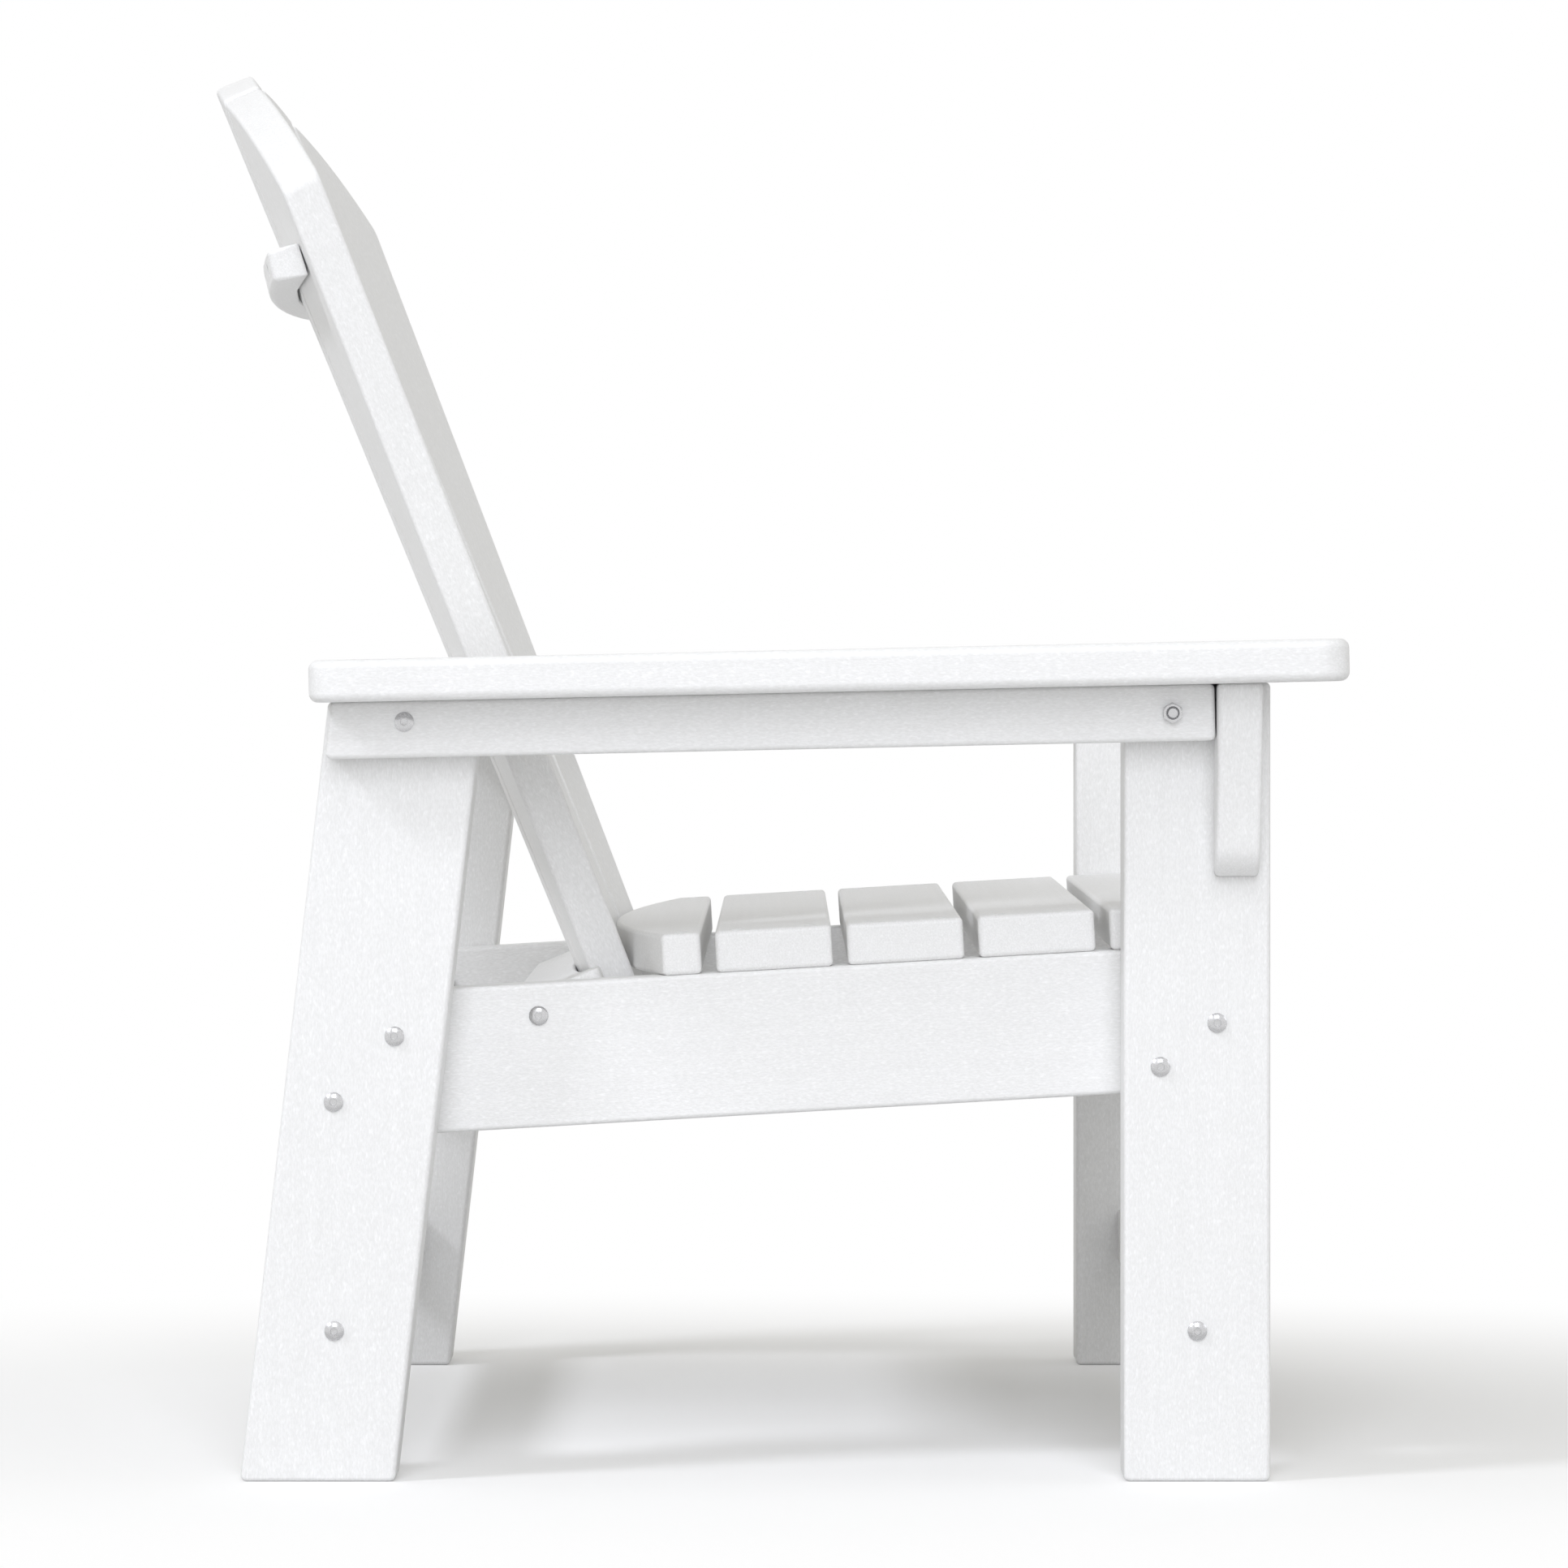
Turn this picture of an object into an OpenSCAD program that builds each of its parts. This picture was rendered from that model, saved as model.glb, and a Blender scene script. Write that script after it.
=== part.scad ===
// Adirondack chair of moulded plastic lumber: a fixed, bolted frame with a
// fanned, arched back. Z is up, the chair faces -Y, and the sitter's left is +X.
// The origin is on the floor, under the middle of the overall box.
// "Fore" is a distance forward, towards -Y, of a datum line across the seat.

/* [Lumber] */
// Thickness of the seat, back, arm and rail boards
board_t = 25.4; // [22:0.2:30]
// Thickness of the four legs
leg_t = 38.1; // [32:0.1:45]
// Rounding along the edges of the boards
edge_r = 3; // [1:0.5:5]

/* [Frame] */
// Clear width between the legs, which is also the length of the seat slats
inside_w = 515; // [480:5:580]
// From the datum line to the front of the front legs
leg_front = 312.3; // [290:0.1:335]
// Width of the front legs, seen from the side
front_leg_w = 88.9; // [76:0.1:100]
// Width of the rear legs, square to their length
rear_leg_w = 93.4; // [80:0.1:105]
// How far the rear legs lean forward, in degrees
rear_leg_lean = 6.46; // [3:0.1:9]
// Height of the stretchers' middle above the floor
stretcher_z = 91.5; // [60:0.5:140]
// Height of each stretcher
stretcher_h = 38.1; // [30:0.1:50]
// Thickness of each stretcher
stretcher_t = 30; // [24:0.5:36]

/* [Seat] */
// Height of the top of the side rails at the datum line
seat_z = 307.5; // [280:0.5:340]
// Slope of the seat, front edge up, in degrees
seat_slope = 3.3; // [0:0.1:5]
// Depth of the side rails
rail_h = 88.3; // [70:0.1:100]
// Width of a straight seat slat
seat_slat_w = 71.6; // [64:0.1:74]
// Width of the nose slat at the front
nose_slat_w = 90; // [80:0.5:95]
// Width of the curved rear slat at its ends
curved_end_w = 23.5; // [20:0.5:27]
// Gap between seat slats
seat_gap = 9; // [5:0.5:12]
// How many straight slats lie between the nose slat and the curved one
seat_slats = 3; // [2:1:3]

/* [Back] */
// Lean of the back from upright, in degrees
recline = 22.4; // [18:0.2:26]
// Height of the bottom of the back slats
back_foot_z = 262; // [250:1:270]
// Gap between the back slats and the curved seat slat, where they are closest
back_to_seat = 1.5; // [1:0.1:6]
// Length of the centre slat
back_len = 668.8; // [620:0.5:720]
// Radius of the curve that the slats stand on, seen along them
back_curve_r = 1043; // [900:5:1500]
// Width of the centre slat and of the two beside it
back_slat_w = 73; // [60:0.5:74]
// Gap between back slats
back_gap = 5; // [3:0.5:8]
// Width of the outer slats at their foot
outer_foot_w = 44; // [36:0.5:52]
// How far the outer edge of an outer slat flares, in degrees
outer_flare = 7.92; // [5:0.1:9]
// Radius of the arch across the top of the back
arch_r = 344; // [320:1:500]

/* [Braces] */
// Depth of the lower and middle braces, front to back
brace_w = 63; // [56:0.5:72]
// Depth behind the notch that the back slats stand in
brace_waist = 39.4; // [34:0.2:44]
// Depth of the middle brace behind the centre slat, which sets where the rear legs stand
middle_brace_waist = 44.6; // [36:0.1:60]
// Radius of the notch of the lower brace
lower_notch_r = 1600; // [1300:10:3000]
// Width of each ear beside the lower brace's notch
ear_w = 27; // [20:0.5:32]
// Height of the lower brace's middle above the slats' feet, along the slats
lower_brace_up = 38.2; // [32:0.2:44]
// The same for the upper brace
upper_brace_up = 528.8; // [480:0.4:560]
// Thickness of the upper brace
upper_brace_t = 20.6; // [16:0.2:26]
// Slope of the upper brace, front edge up, in degrees
upper_brace_slope = 13.8; // [11:0.2:20]
// Half of the upper brace's length
upper_brace_half = 218; // [190:0.5:224]
// Depth of the upper brace at its middle, behind the slats
upper_brace_waist = 16.8; // [15:0.2:26]
// Radius of the upper brace's rear edge
upper_brace_rear_r = 1400; // [1250:10:2000]

/* [Arms] */
// Height of the underside of the armrests at the datum line
arm_z = 477.9; // [450:0.1:510]
// Slope of the armrests, front end up, in degrees
arm_slope = 1.22; // [0:0.02:3]
// Width of an armrest
arm_w = 124; // [105:1:140]
// How far an armrest reaches in past the legs' inner faces
arm_inset = 20; // [5:1:30]
// Distance from the front of the front legs to the front of an armrest
arm_nose = 43.1; // [20:0.1:70]
// Distance from the end of an arm rail to the back of its armrest
arm_tail = 12; // [2:0.2:30]
// Corner radius of an armrest, seen from above
arm_corner_r = 18; // [8:1:30]
// Rounding of the armrests' edges
arm_edge_r = 5.5; // [2:0.5:9]
// Height of an arm rail
arm_rail_h = 34.4; // [30:0.1:45]
// Distance from the back of a rear leg to the end of its arm rail
arm_rail_inset = 4; // [0:0.5:15]
// Thickness of an arm bracket, front to back
bracket_t = 26.8; // [20:0.2:30]
// Height of an arm bracket
bracket_h = 117; // [90:1:150]
// How far an arm bracket stands out at the top
bracket_out = 40; // [30:0.5:46]
// Radius of the rounded foot of an arm bracket
bracket_foot_r = 22; // [12:0.5:24]
// Distance from the bracket to the front of the leg
bracket_inset = 7.7; // [4:0.1:12]

/* [Fasteners] */
// Diameter of the bolts
bolt_d = 6; // [5:0.5:8]
// Diameter of the bolts' button heads
bolt_head_d = 11.8; // [11.6:0.1:14]
// Height of the bolts' button heads
bolt_head_h = 3.4; // [2.5:0.1:4.5]
// Width of the nuts, across their flats
nut_af = 11; // [10.6:0.1:14]
// Height of the nuts
nut_h = 5.2; // [4:0.1:7]
// Diameter of the barrel nuts in the ends of the cross boards
barrel_d = 10; // [9:0.5:12]
// Diameter of the screws
screw_d = 4.2; // [3.5:0.1:5]
// Diameter of the screws' countersunk heads
screw_head_d = 8.6; // [7:0.1:10]
// How far the screw heads lie below the surface
screw_sink = 0.8; // [0.2:0.1:1.5]

/* [Hidden] */
$fn = 48;

board_colour = "whitesmoke";
steel_colour = "silver";

// Clearances
bolt_gap = 0.2;         // around a bolt in a board
thread_gap = 0.12;      // around a bolt in its nut, and a screw in its hole
brace_gap = 0.2;        // between the back slats and a brace that follows them
bracket_gap = 1.3;      // between an arm rail and its bracket
far = 1500;             // longer than any board

// Small named sizes of the joints
rail_end = 6;           // from the end of a seat rail to the outer edge of its leg
nose_set_back = 4.7;    // from the front of the legs to the nose slat
seat_screw_edge = 14;   // from the edge of a seat slat to its screws
seat_screw_len = 48;
screw_bite = 14;        // how far a screw goes into the last board
arm_screw_in = 90;      // from the ends of an arm rail to its outer screws
arm_screw_len = 45;
barrel_in = 30;         // from the end of a cross board to its barrel nut
barrel_len = 16;
bolt_past_nut = 2;
bolt_past_barrel = 8;
brace_bolt_in = 19.5;   // from the rear edge of a brace to its end bolts
hole_past = 5;          // how far a bolt's hole runs on past its board
rear_bolt_side = 18.4;  // a seat rail's rear bolts, from the middle of the joint
rear_bolt_rise = 19.9;
front_bolt_ahead = 12;  // and its front bolts
front_bolt_behind = 22.3;
front_bolt_rise = 13.3;
front_bolt_drop = 14;
bracket_screw_down = 24;
brace_screw_in = 28;    // from the outer edge of an outer slat to its outer screw
brace_screw_end = 23;   // the least from the end of a brace to a screw
slat_screw_in = 20;     // from the inner edge of an outer slat to its inner screw
curved_screw_in = 12;   // from the front of the curved seat slat to its screws

// Side view
half_in = inside_w / 2;
half_out = half_in + leg_t;
front_leg_fore = leg_front - front_leg_w / 2;

// Seat: local y runs back along the rails, and local z = 0 is on top of them
rail_in = half_in - board_t;
nose_front = (leg_front - nose_set_back) / cos(seat_slope);
function slat_front(i) = i == 0 ? nose_front
    : nose_front - nose_slat_w - seat_gap - (i - 1) * (seat_slat_w + seat_gap);
curved_front = slat_front(seat_slats + 1);
curved_r = back_curve_r * cos(recline);
curved_rear = curved_front - curved_end_w - curved_r + sqrt(curved_r * curved_r - half_in * half_in);
seat_screw_x = half_in - board_t / 2;

// Back: local z runs up the slats, local y back from the centre slat's front face,
// which passes just behind the lower rear edge of the curved seat slat
back_foot_fore = curved_rear * cos(seat_slope) - back_to_seat / cos(recline)
    + (seat_z + curved_rear * sin(seat_slope) - back_foot_z) * tan(recline);

// Where the centre slat's rear face crosses the middle brace's middle, in the arm plane
middle_slat_rear = (-back_foot_fore + board_t / cos(recline) + board_t / 2 * sin(arm_slope)
    + (arm_z - board_t / 2 * cos(arm_slope) - back_foot_z) * tan(recline))
    / (cos(arm_slope) + sin(arm_slope) * tan(recline));
middle_rear = -middle_slat_rear - middle_brace_waist;
middle_bolt_fore = middle_rear + brace_bolt_in;

// The rear legs stand where the middle brace's end bolts meet their middle line
rear_foot_w = rear_leg_w / cos(rear_leg_lean);
function rear_leg_fore(z) = middle_bolt_fore + (z - arm_z) * tan(rear_leg_lean);
rail_front = leg_front - rail_end;
rail_rear = rear_leg_fore(seat_z) - rear_foot_w / 2 + rail_end;
rail_len = (rail_front - rail_rear) / cos(seat_slope);
rail_mid = (rail_front + rail_rear) / 2 / cos(seat_slope);

slat_inner_x = back_slat_w / 2 + back_gap;
slat_outer_x = slat_inner_x + back_slat_w + back_gap;
function arc_depth(x) = back_curve_r - sqrt(back_curve_r * back_curve_r - x * x);
function arc_turn(x) = asin(x / back_curve_r);
outer_top_w = outer_foot_w + back_len * tan(outer_flare);
// A cylinder that just holds the slats, touching the rear corners of the centre one
rear_face_r = norm([back_curve_r + board_t, back_slat_w / 2]);
notch_half = rail_in - ear_w;
ear_r = 6;
brace_end_r = 2;

// Fasteners
hole_r = bolt_d / 2 + bolt_gap;
dome_h = 0.7 * bolt_head_h;
dome_r = (bolt_head_d * bolt_head_d / 4 + dome_h * dome_h) / 2 / dome_h;
socket_af = 4;
socket_depth = 2;
screw_r = screw_d / 2;
screw_hole_r = screw_r + thread_gap;
screw_head_h = (screw_head_d - screw_d) / 2;
barrel_bolt = barrel_in + bolt_past_barrel;
barrel_bolt_hole = barrel_bolt + hole_past;
seat_rail_bolt_len = leg_t + board_t + nut_h + bolt_past_nut;
rear_joint_z = seat_z - rail_h / 2 + rear_leg_fore(seat_z) * tan(seat_slope);
front_joint_z = seat_z - rail_h / 2 + front_leg_fore * tan(seat_slope)
    - front_bolt_drop;
seat_rail_bolts_at = [
    [rear_leg_fore(rear_joint_z) + rear_bolt_side, rear_joint_z + rear_bolt_rise],
    [rear_leg_fore(rear_joint_z) - rear_bolt_side, rear_joint_z - rear_bolt_rise],
    [front_leg_fore + front_bolt_ahead, front_joint_z + front_bolt_rise],
    [front_leg_fore - front_bolt_behind, front_joint_z - front_bolt_rise]];
stretchers_at = [[front_leg_fore, stretcher_z], [rear_leg_fore(stretcher_z), stretcher_z]];
arm_bolt_len = board_t + leg_t + nut_h + bolt_past_nut;

// Arms: local y runs back along the arms, and local z = 0 is their underside
arm_front = leg_front + arm_nose;
arm_rail_front = leg_front - bracket_inset - bracket_t - bracket_gap;
arm_rail_rear = rear_leg_fore(arm_z) - rear_foot_w / 2 + arm_rail_inset;
arm_len = (arm_front - arm_rail_rear + arm_tail) / cos(arm_slope);
arm_mid = arm_front / cos(arm_slope) - arm_len / 2;
arm_front_bolt_fore = (leg_front - front_leg_w + arm_rail_front + bracket_gap) / 2;
arm_screw_x = half_out + board_t / 2;
arm_screws_fore = [arm_rail_rear + arm_screw_in, (arm_rail_rear + arm_rail_front) / 2,
    arm_rail_front - arm_screw_in];
bracket_screws_down = [bracket_screw_down, 0.6 * bracket_h];

// The overall box is centred on the origin
crest_fore = back_foot_fore - back_len * sin(recline) - board_t * cos(recline);
box_mid_fore = (arm_front - arm_edge_r * sin(arm_slope) + crest_fore) / 2;

// ---- Frames of reference ----

module chair() translate([0, box_mid_fore, 0]) children();
module at(fore, z, x = 0) translate([x, -fore, z]) children();
module seat_plane() at(0, seat_z) rotate([-seat_slope, 0, 0]) children();
module arm_plane() at(0, arm_z) rotate([-arm_slope, 0, 0]) children();
module back_plane() at(back_foot_fore, back_foot_z) rotate([-recline, 0, 0]) children();
module brace_plane(up, slope) back_plane() translate([0, board_t, up])
    rotate([recline - slope, 0, 0]) children();
module right_side() mirror([1, 0, 0]) children();
module both_sides() { children(); right_side() children(); }

// ---- Shapes ----

// A rectangle with rounded corners, centred
module rounded_rect(w, h, r) {
    square([w - 2 * r, h], center = true);
    square([w, h - 2 * r], center = true);
    for (x = [-1, 1], y = [-1, 1]) translate([x * (w / 2 - r), y * (h / 2 - r)]) circle(r);
}

// A board with all its edges rounded, centred; corner is its radius seen from above
module board(w, l, t, r = edge_r, corner = edge_r) intersection() {
    linear_extrude(t, center = true) rounded_rect(w, l, corner);
    rotate([90, 0, 0]) linear_extrude(l, center = true) rounded_rect(w, t, r);
    rotate([90, 0, 90]) linear_extrude(w, center = true) rounded_rect(l, t, r);
}

// Everything under the armrests
module below_arms() arm_plane() translate([0, 0, -far / 2]) cube(far, center = true);

// A screw whose head lies at z = 0 and whose point is below, and the hole for it
module screw(l) difference() {
    union() {
        translate([0, 0, -screw_head_h]) cylinder(h = screw_head_h, r1 = screw_r, r2 = screw_head_d / 2);
        translate([0, 0, -l]) cylinder(h = l - screw_head_h, r = screw_r);
    }
    cube([0.9, 5, 2.2], center = true);
    cube([5, 0.9, 2.2], center = true);
}
module screw_hole(l) {
    translate([0, 0, -screw_head_h]) cylinder(h = screw_head_h, r1 = screw_hole_r,
        r2 = screw_head_d / 2 + thread_gap);
    cylinder(h = 10, r = screw_head_d / 2 + thread_gap);
    translate([0, 0, -l]) cylinder(h = l, r = screw_hole_r);
}

// A button-head bolt: the head stands on z = 0 and the shank runs down
module bolt(l) difference() {
    union() {
        translate([0, 0, -l]) cylinder(h = l, r = bolt_d / 2);
        intersection() {
            cylinder(h = bolt_head_h, r = bolt_head_d / 2);
            translate([0, 0, bolt_head_h - dome_r]) sphere(dome_r);
        }
    }
    translate([0, 0, bolt_head_h - socket_depth])
        cylinder(h = bolt_head_h, d = socket_af / cos(30), $fn = 6);
}
module bolt_hole(l) translate([0, 0, -l]) cylinder(h = l + 10, r = hole_r);

module nut() difference() {
    cylinder(h = nut_h, d = nut_af / cos(30), $fn = 6);
    translate([0, 0, -1]) cylinder(h = nut_h + 2, r = bolt_d / 2 + thread_gap);
}

// A barrel nut lies across the bolt, which passes through it along x
module barrel_nut() difference() {
    cylinder(h = barrel_len, r = barrel_d / 2, center = true);
    rotate([0, 90, 0]) cylinder(h = 2 * barrel_d, r = bolt_d / 2 + thread_gap, center = true);
}
// Its hole, drilled from below the board
module barrel_hole() translate([0, 0, barrel_len / 2 - far / 2])
    cylinder(h = far, r = barrel_d / 2 + thread_gap, center = true);

// Turns a fastener to point inwards from the left side
module inwards() rotate([0, 90, 0]) children();

// ---- Where the fasteners go, on the left side ----

module at_seat_rail_bolts() for (p = seat_rail_bolts_at) at(p[0], p[1], half_out) inwards() children();
module at_stretcher_bolts() for (p = stretchers_at) at(p[0], p[1], half_out) inwards() children();
module at_lower_brace_bolt() brace_plane(lower_brace_up, recline)
    translate([half_in, brace_waist + brace_gap - brace_bolt_in, 0]) inwards() children();
module at_middle_brace_bolt() arm_plane()
    translate([half_out + board_t, -middle_bolt_fore, -board_t / 2]) inwards() children();
module at_front_arm_bolt() arm_plane()
    translate([half_in, -arm_front_bolt_fore, -arm_rail_h / 2]) rotate([0, -90, 0]) children();
module at_bracket_screws() for (d = bracket_screws_down)
    at(leg_front - bracket_inset - bracket_t / 2, arm_z - d, half_in + screw_sink)
        rotate([0, -90, 0]) children();
module at_armrest_screws() arm_plane() for (f = arm_screws_fore)
    translate([arm_screw_x, -f, board_t - screw_sink]) children();

// The screws of the seat slat whose front and rear edges lie at these places
module at_slat_screws(front, rear) seat_plane()
    for (x = [-seat_screw_x, seat_screw_x], f = [front - seat_screw_edge, rear + seat_screw_edge])
        translate([x, -f, board_t - screw_sink]) children();
module at_straight_slat_screws(i) at_slat_screws(slat_front(i),
    slat_front(i) - (i == 0 ? nose_slat_w : seat_slat_w)) children();
module at_curved_slat_screws() seat_plane() for (x = [-seat_screw_x, seat_screw_x])
    translate([x, -(curved_front - curved_screw_in), board_t - screw_sink]) children();
module at_seat_screws() {
    for (i = [0 : seat_slats]) at_straight_slat_screws(i) children();
    at_curved_slat_screws() children();
}

// Screws of the back: across the width, two to each slat
inner_screws_x = [slat_inner_x + 0.25 * back_slat_w, slat_inner_x + 0.75 * back_slat_w];
centre_screws_x = [-back_slat_w / 4, back_slat_w / 4];
function outer_screws_x(up) = [slat_outer_x + slat_screw_in, min(upper_brace_half - brace_screw_end,
    slat_outer_x + outer_foot_w + up * tan(outer_flare) - brace_screw_in)];
function all_screws_x(up) = concat(centre_screws_x, inner_screws_x, -inner_screws_x,
    outer_screws_x(up), -outer_screws_x(up));
middle_up = (arm_z - back_foot_z) / cos(recline);

// Depth of the upper brace's rear edge behind its front edge's middle
function upper_rear_y(x) = upper_brace_waist
    - (upper_brace_rear_r - sqrt(upper_brace_rear_r * upper_brace_rear_r - x * x));

// Each of these gives its children the screw's length in $screw_len
module at_upper_brace_screws() brace_plane(upper_brace_up, upper_brace_slope)
    for (x = all_screws_x(upper_brace_up)) {
        $screw_len = upper_rear_y(x) - screw_sink + arc_depth(x) + screw_bite;
        translate([x, upper_rear_y(x) - screw_sink, 0]) rotate([-90, 0, 0]) children();
    }
module at_lower_brace_screws() brace_plane(lower_brace_up, recline)
    for (x = concat(centre_screws_x, inner_screws_x, -inner_screws_x)) {
        $screw_len = brace_waist - screw_sink + arc_depth(x) + screw_bite;
        translate([x, brace_waist + brace_gap - screw_sink, 0]) rotate([-90, 0, 0]) children();
    }
module at_middle_brace_screws() arm_plane()
    for (x = all_screws_x(middle_up)) {
        slat_rear = middle_slat_rear - arc_depth(x) / cos(recline - arm_slope);
        $screw_len = -middle_rear - screw_sink - slat_rear + screw_bite;
        translate([x, -middle_rear - screw_sink, -board_t / 2]) rotate([-90, 0, 0]) children();
    }
module at_back_screws() {
    at_upper_brace_screws() children();
    at_middle_brace_screws() children();
    at_lower_brace_screws() children();
}

// ---- Legs and stretchers ----

module front_leg() color(board_colour) difference() {
    intersection() {
        at(front_leg_fore, 0, half_in + leg_t / 2)
            linear_extrude(far) rounded_rect(leg_t, front_leg_w, edge_r);
        below_arms();
    }
    at_seat_rail_bolts() bolt_hole(seat_rail_bolt_len);
    at_stretcher_bolts() bolt_hole(leg_t + hole_past);
    at_front_arm_bolt() bolt_hole(arm_bolt_len);
    at_bracket_screws() screw_hole(leg_t + screw_bite);
}

module rear_leg() color(board_colour) difference() {
    intersection() {
        at(rear_leg_fore(0), 0, half_in + leg_t / 2) rotate([rear_leg_lean, 0, 0])
            linear_extrude(far, center = true) rounded_rect(leg_t, rear_leg_w, edge_r);
        translate([0, 0, far / 2]) cube(far, center = true);
        below_arms();
    }
    at_seat_rail_bolts() bolt_hole(seat_rail_bolt_len);
    at_stretcher_bolts() bolt_hole(leg_t + hole_past);
    at_middle_brace_bolt() bolt_hole(board_t + leg_t + hole_past);
}

module stretcher(i) color(board_colour) difference() {
    at(stretchers_at[i][0], stretchers_at[i][1]) board(inside_w, stretcher_t, stretcher_h);
    both_sides() at_stretcher_bolts() bolt_hole(leg_t + barrel_bolt_hole);
    both_sides() at(stretchers_at[i][0], stretchers_at[i][1], half_in - barrel_in) barrel_hole();
}

// ---- Seat ----

module seat_rail() color(board_colour) difference() {
    seat_plane() translate([half_in - board_t / 2, -rail_mid, -rail_h / 2])
        board(board_t, rail_len, rail_h);
    at_seat_rail_bolts() bolt_hole(seat_rail_bolt_len);
    at_lower_brace_bolt() bolt_hole(board_t + hole_past);
    at_seat_screws() screw_hole(seat_screw_len);
}

module seat_slat(i) color(board_colour) difference() {
    w = i == 0 ? nose_slat_w : seat_slat_w;
    seat_plane() translate([0, w / 2 - slat_front(i), board_t / 2]) board(inside_w, w, board_t);
    at_straight_slat_screws(i) screw_hole(seat_screw_len);
}

// The rearmost slat: its rear edge curves round the back slats
module curved_slat() color(board_colour) difference() {
    seat_plane() intersection() {
        translate([0, -curved_front + far / 2, board_t / 2]) board(inside_w, far, board_t);
        translate([0, -curved_rear - curved_r, -1])
            cylinder(h = board_t + 2, r = curved_r, $fn = 180);
    }
    at_curved_slat_screws() screw_hole(seat_screw_len);
}

// ---- Back ----

// The outline of the whole back: the arch over a wide rectangle
module arch() rotate([90, 0, 0]) linear_extrude(far, center = true) {
    translate([0, back_len - arch_r]) circle(arch_r, $fn = 180);
    translate([-arch_r, 0]) square([2 * arch_r, back_len - arch_r]);
}

// Stands a slat on the curve, with its inner edge at x, turned as the curve is at turn_x
module on_curve(x, turn_x) translate([x, -arc_depth(x), 0])
    rotate([0, 0, -arc_turn(turn_x)]) children();

module slat_prism(w) translate([w / 2, board_t / 2, 0]) linear_extrude(back_len)
    rounded_rect(w, board_t, edge_r);

module centre_slat() color(board_colour) difference() {
    back_plane() intersection() {
        translate([-back_slat_w / 2, 0, 0]) slat_prism(back_slat_w);
        arch();
    }
    at_back_screws() screw_hole($screw_len);
}

module inner_slat() color(board_colour) difference() {
    back_plane() intersection() {
        on_curve(slat_inner_x, slat_inner_x + back_slat_w / 2) slat_prism(back_slat_w);
        arch();
    }
    at_back_screws() screw_hole($screw_len);
}

module outer_slat() color(board_colour) difference() {
    back_plane() intersection() {
        on_curve(slat_outer_x, slat_outer_x + outer_foot_w) intersection() {
            slat_prism(2 * outer_top_w);
            translate([outer_foot_w, 0, 0]) rotate([0, outer_flare, 0])
                translate([-outer_top_w, board_t / 2, -back_len / 2]) linear_extrude(2 * back_len)
                    rounded_rect(2 * outer_top_w, board_t, edge_r);
        }
        arch();
    }
    at_back_screws() screw_hole($screw_len);
}

// ---- Braces across the back ----

// Its notch is flatter than the curve of the slats, and clears the centre slat's corners
lower_notch_y = back_slat_w * back_slat_w / 8 / lower_notch_r;
module lower_brace() color(board_colour) difference() {
    brace_plane(lower_brace_up, recline) translate([0, brace_gap, 0])
        linear_extrude(board_t, center = true) {
            difference() {
                translate([-rail_in + ear_r, -brace_w + brace_waist])
                    square([2 * (rail_in - ear_r), brace_w]);
                intersection() {
                    translate([0, lower_notch_y - lower_notch_r]) circle(lower_notch_r, $fn = 180);
                    square([2 * notch_half, 4 * brace_w], center = true);
                }
            }
            for (x = [-1, 1]) translate([x * (rail_in - ear_w / 2), brace_waist - brace_w / 2])
                rounded_rect(ear_w, brace_w, ear_r);
        }
    both_sides() at_lower_brace_bolt() bolt_hole(board_t + barrel_bolt_hole);
    both_sides() brace_plane(lower_brace_up, recline)
        translate([rail_in - barrel_in, brace_waist + brace_gap - brace_bolt_in, 0]) barrel_hole();
    at_lower_brace_screws() screw_hole($screw_len);
}

module middle_brace() color(board_colour) difference() {
    arm_plane() translate([0, -middle_rear - brace_w / 2, -board_t / 2])
        board(inside_w, brace_w, board_t);
    back_plane() translate([0, -back_curve_r, 0]) intersection() {
        cylinder(h = far, r = rear_face_r + brace_gap, $fn = 180);
        translate([-notch_half, 0, 0]) cube([2 * notch_half, far, far]);
    }
    both_sides() at_middle_brace_bolt() bolt_hole(board_t + leg_t + barrel_bolt_hole);
    both_sides() arm_plane() translate([half_in - barrel_in, -middle_bolt_fore, -board_t / 2])
        barrel_hole();
    at_middle_brace_screws() screw_hole($screw_len);
}

// It stands less steep than square to the back, so only its upper front edge touches
upper_brace_y = upper_brace_t / 2 * abs(tan(recline - upper_brace_slope));
module upper_brace() color(board_colour) difference() {
    brace_plane(upper_brace_up, upper_brace_slope) linear_extrude(upper_brace_t, center = true)
        intersection() {
            translate([0, upper_brace_waist - upper_brace_rear_r]) circle(upper_brace_rear_r, $fn = 180);
            difference() {
                rounded_rect(2 * upper_brace_half, 4 * board_t, brace_end_r);
                translate([0, upper_brace_y + brace_gap - board_t - back_curve_r])
                    circle(rear_face_r, $fn = 180);
            }
        }
    at_upper_brace_screws() screw_hole($screw_len);
}

// ---- Arms ----

module arm_rail() color(board_colour) difference() {
    intersection() {
        arm_plane() translate([half_out + board_t / 2, -(arm_rail_front - far / 2), -arm_rail_h / 2])
            board(board_t, far, arm_rail_h);
        at(arm_rail_rear, arm_z) rotate([rear_leg_lean, 0, 0]) translate([0, -far / 2, 0])
            cube(far, center = true);
    }
    at_middle_brace_bolt() bolt_hole(board_t + hole_past);
    at_front_arm_bolt() bolt_hole(arm_bolt_len);
    at_armrest_screws() screw_hole(arm_screw_len);
}

module armrest() color(board_colour) difference() {
    arm_plane() translate([half_in - arm_inset + arm_w / 2, -arm_mid, board_t / 2])
        board(arm_w, arm_len, board_t, arm_edge_r, arm_corner_r);
    at_armrest_screws() screw_hole(arm_screw_len);
}

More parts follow.
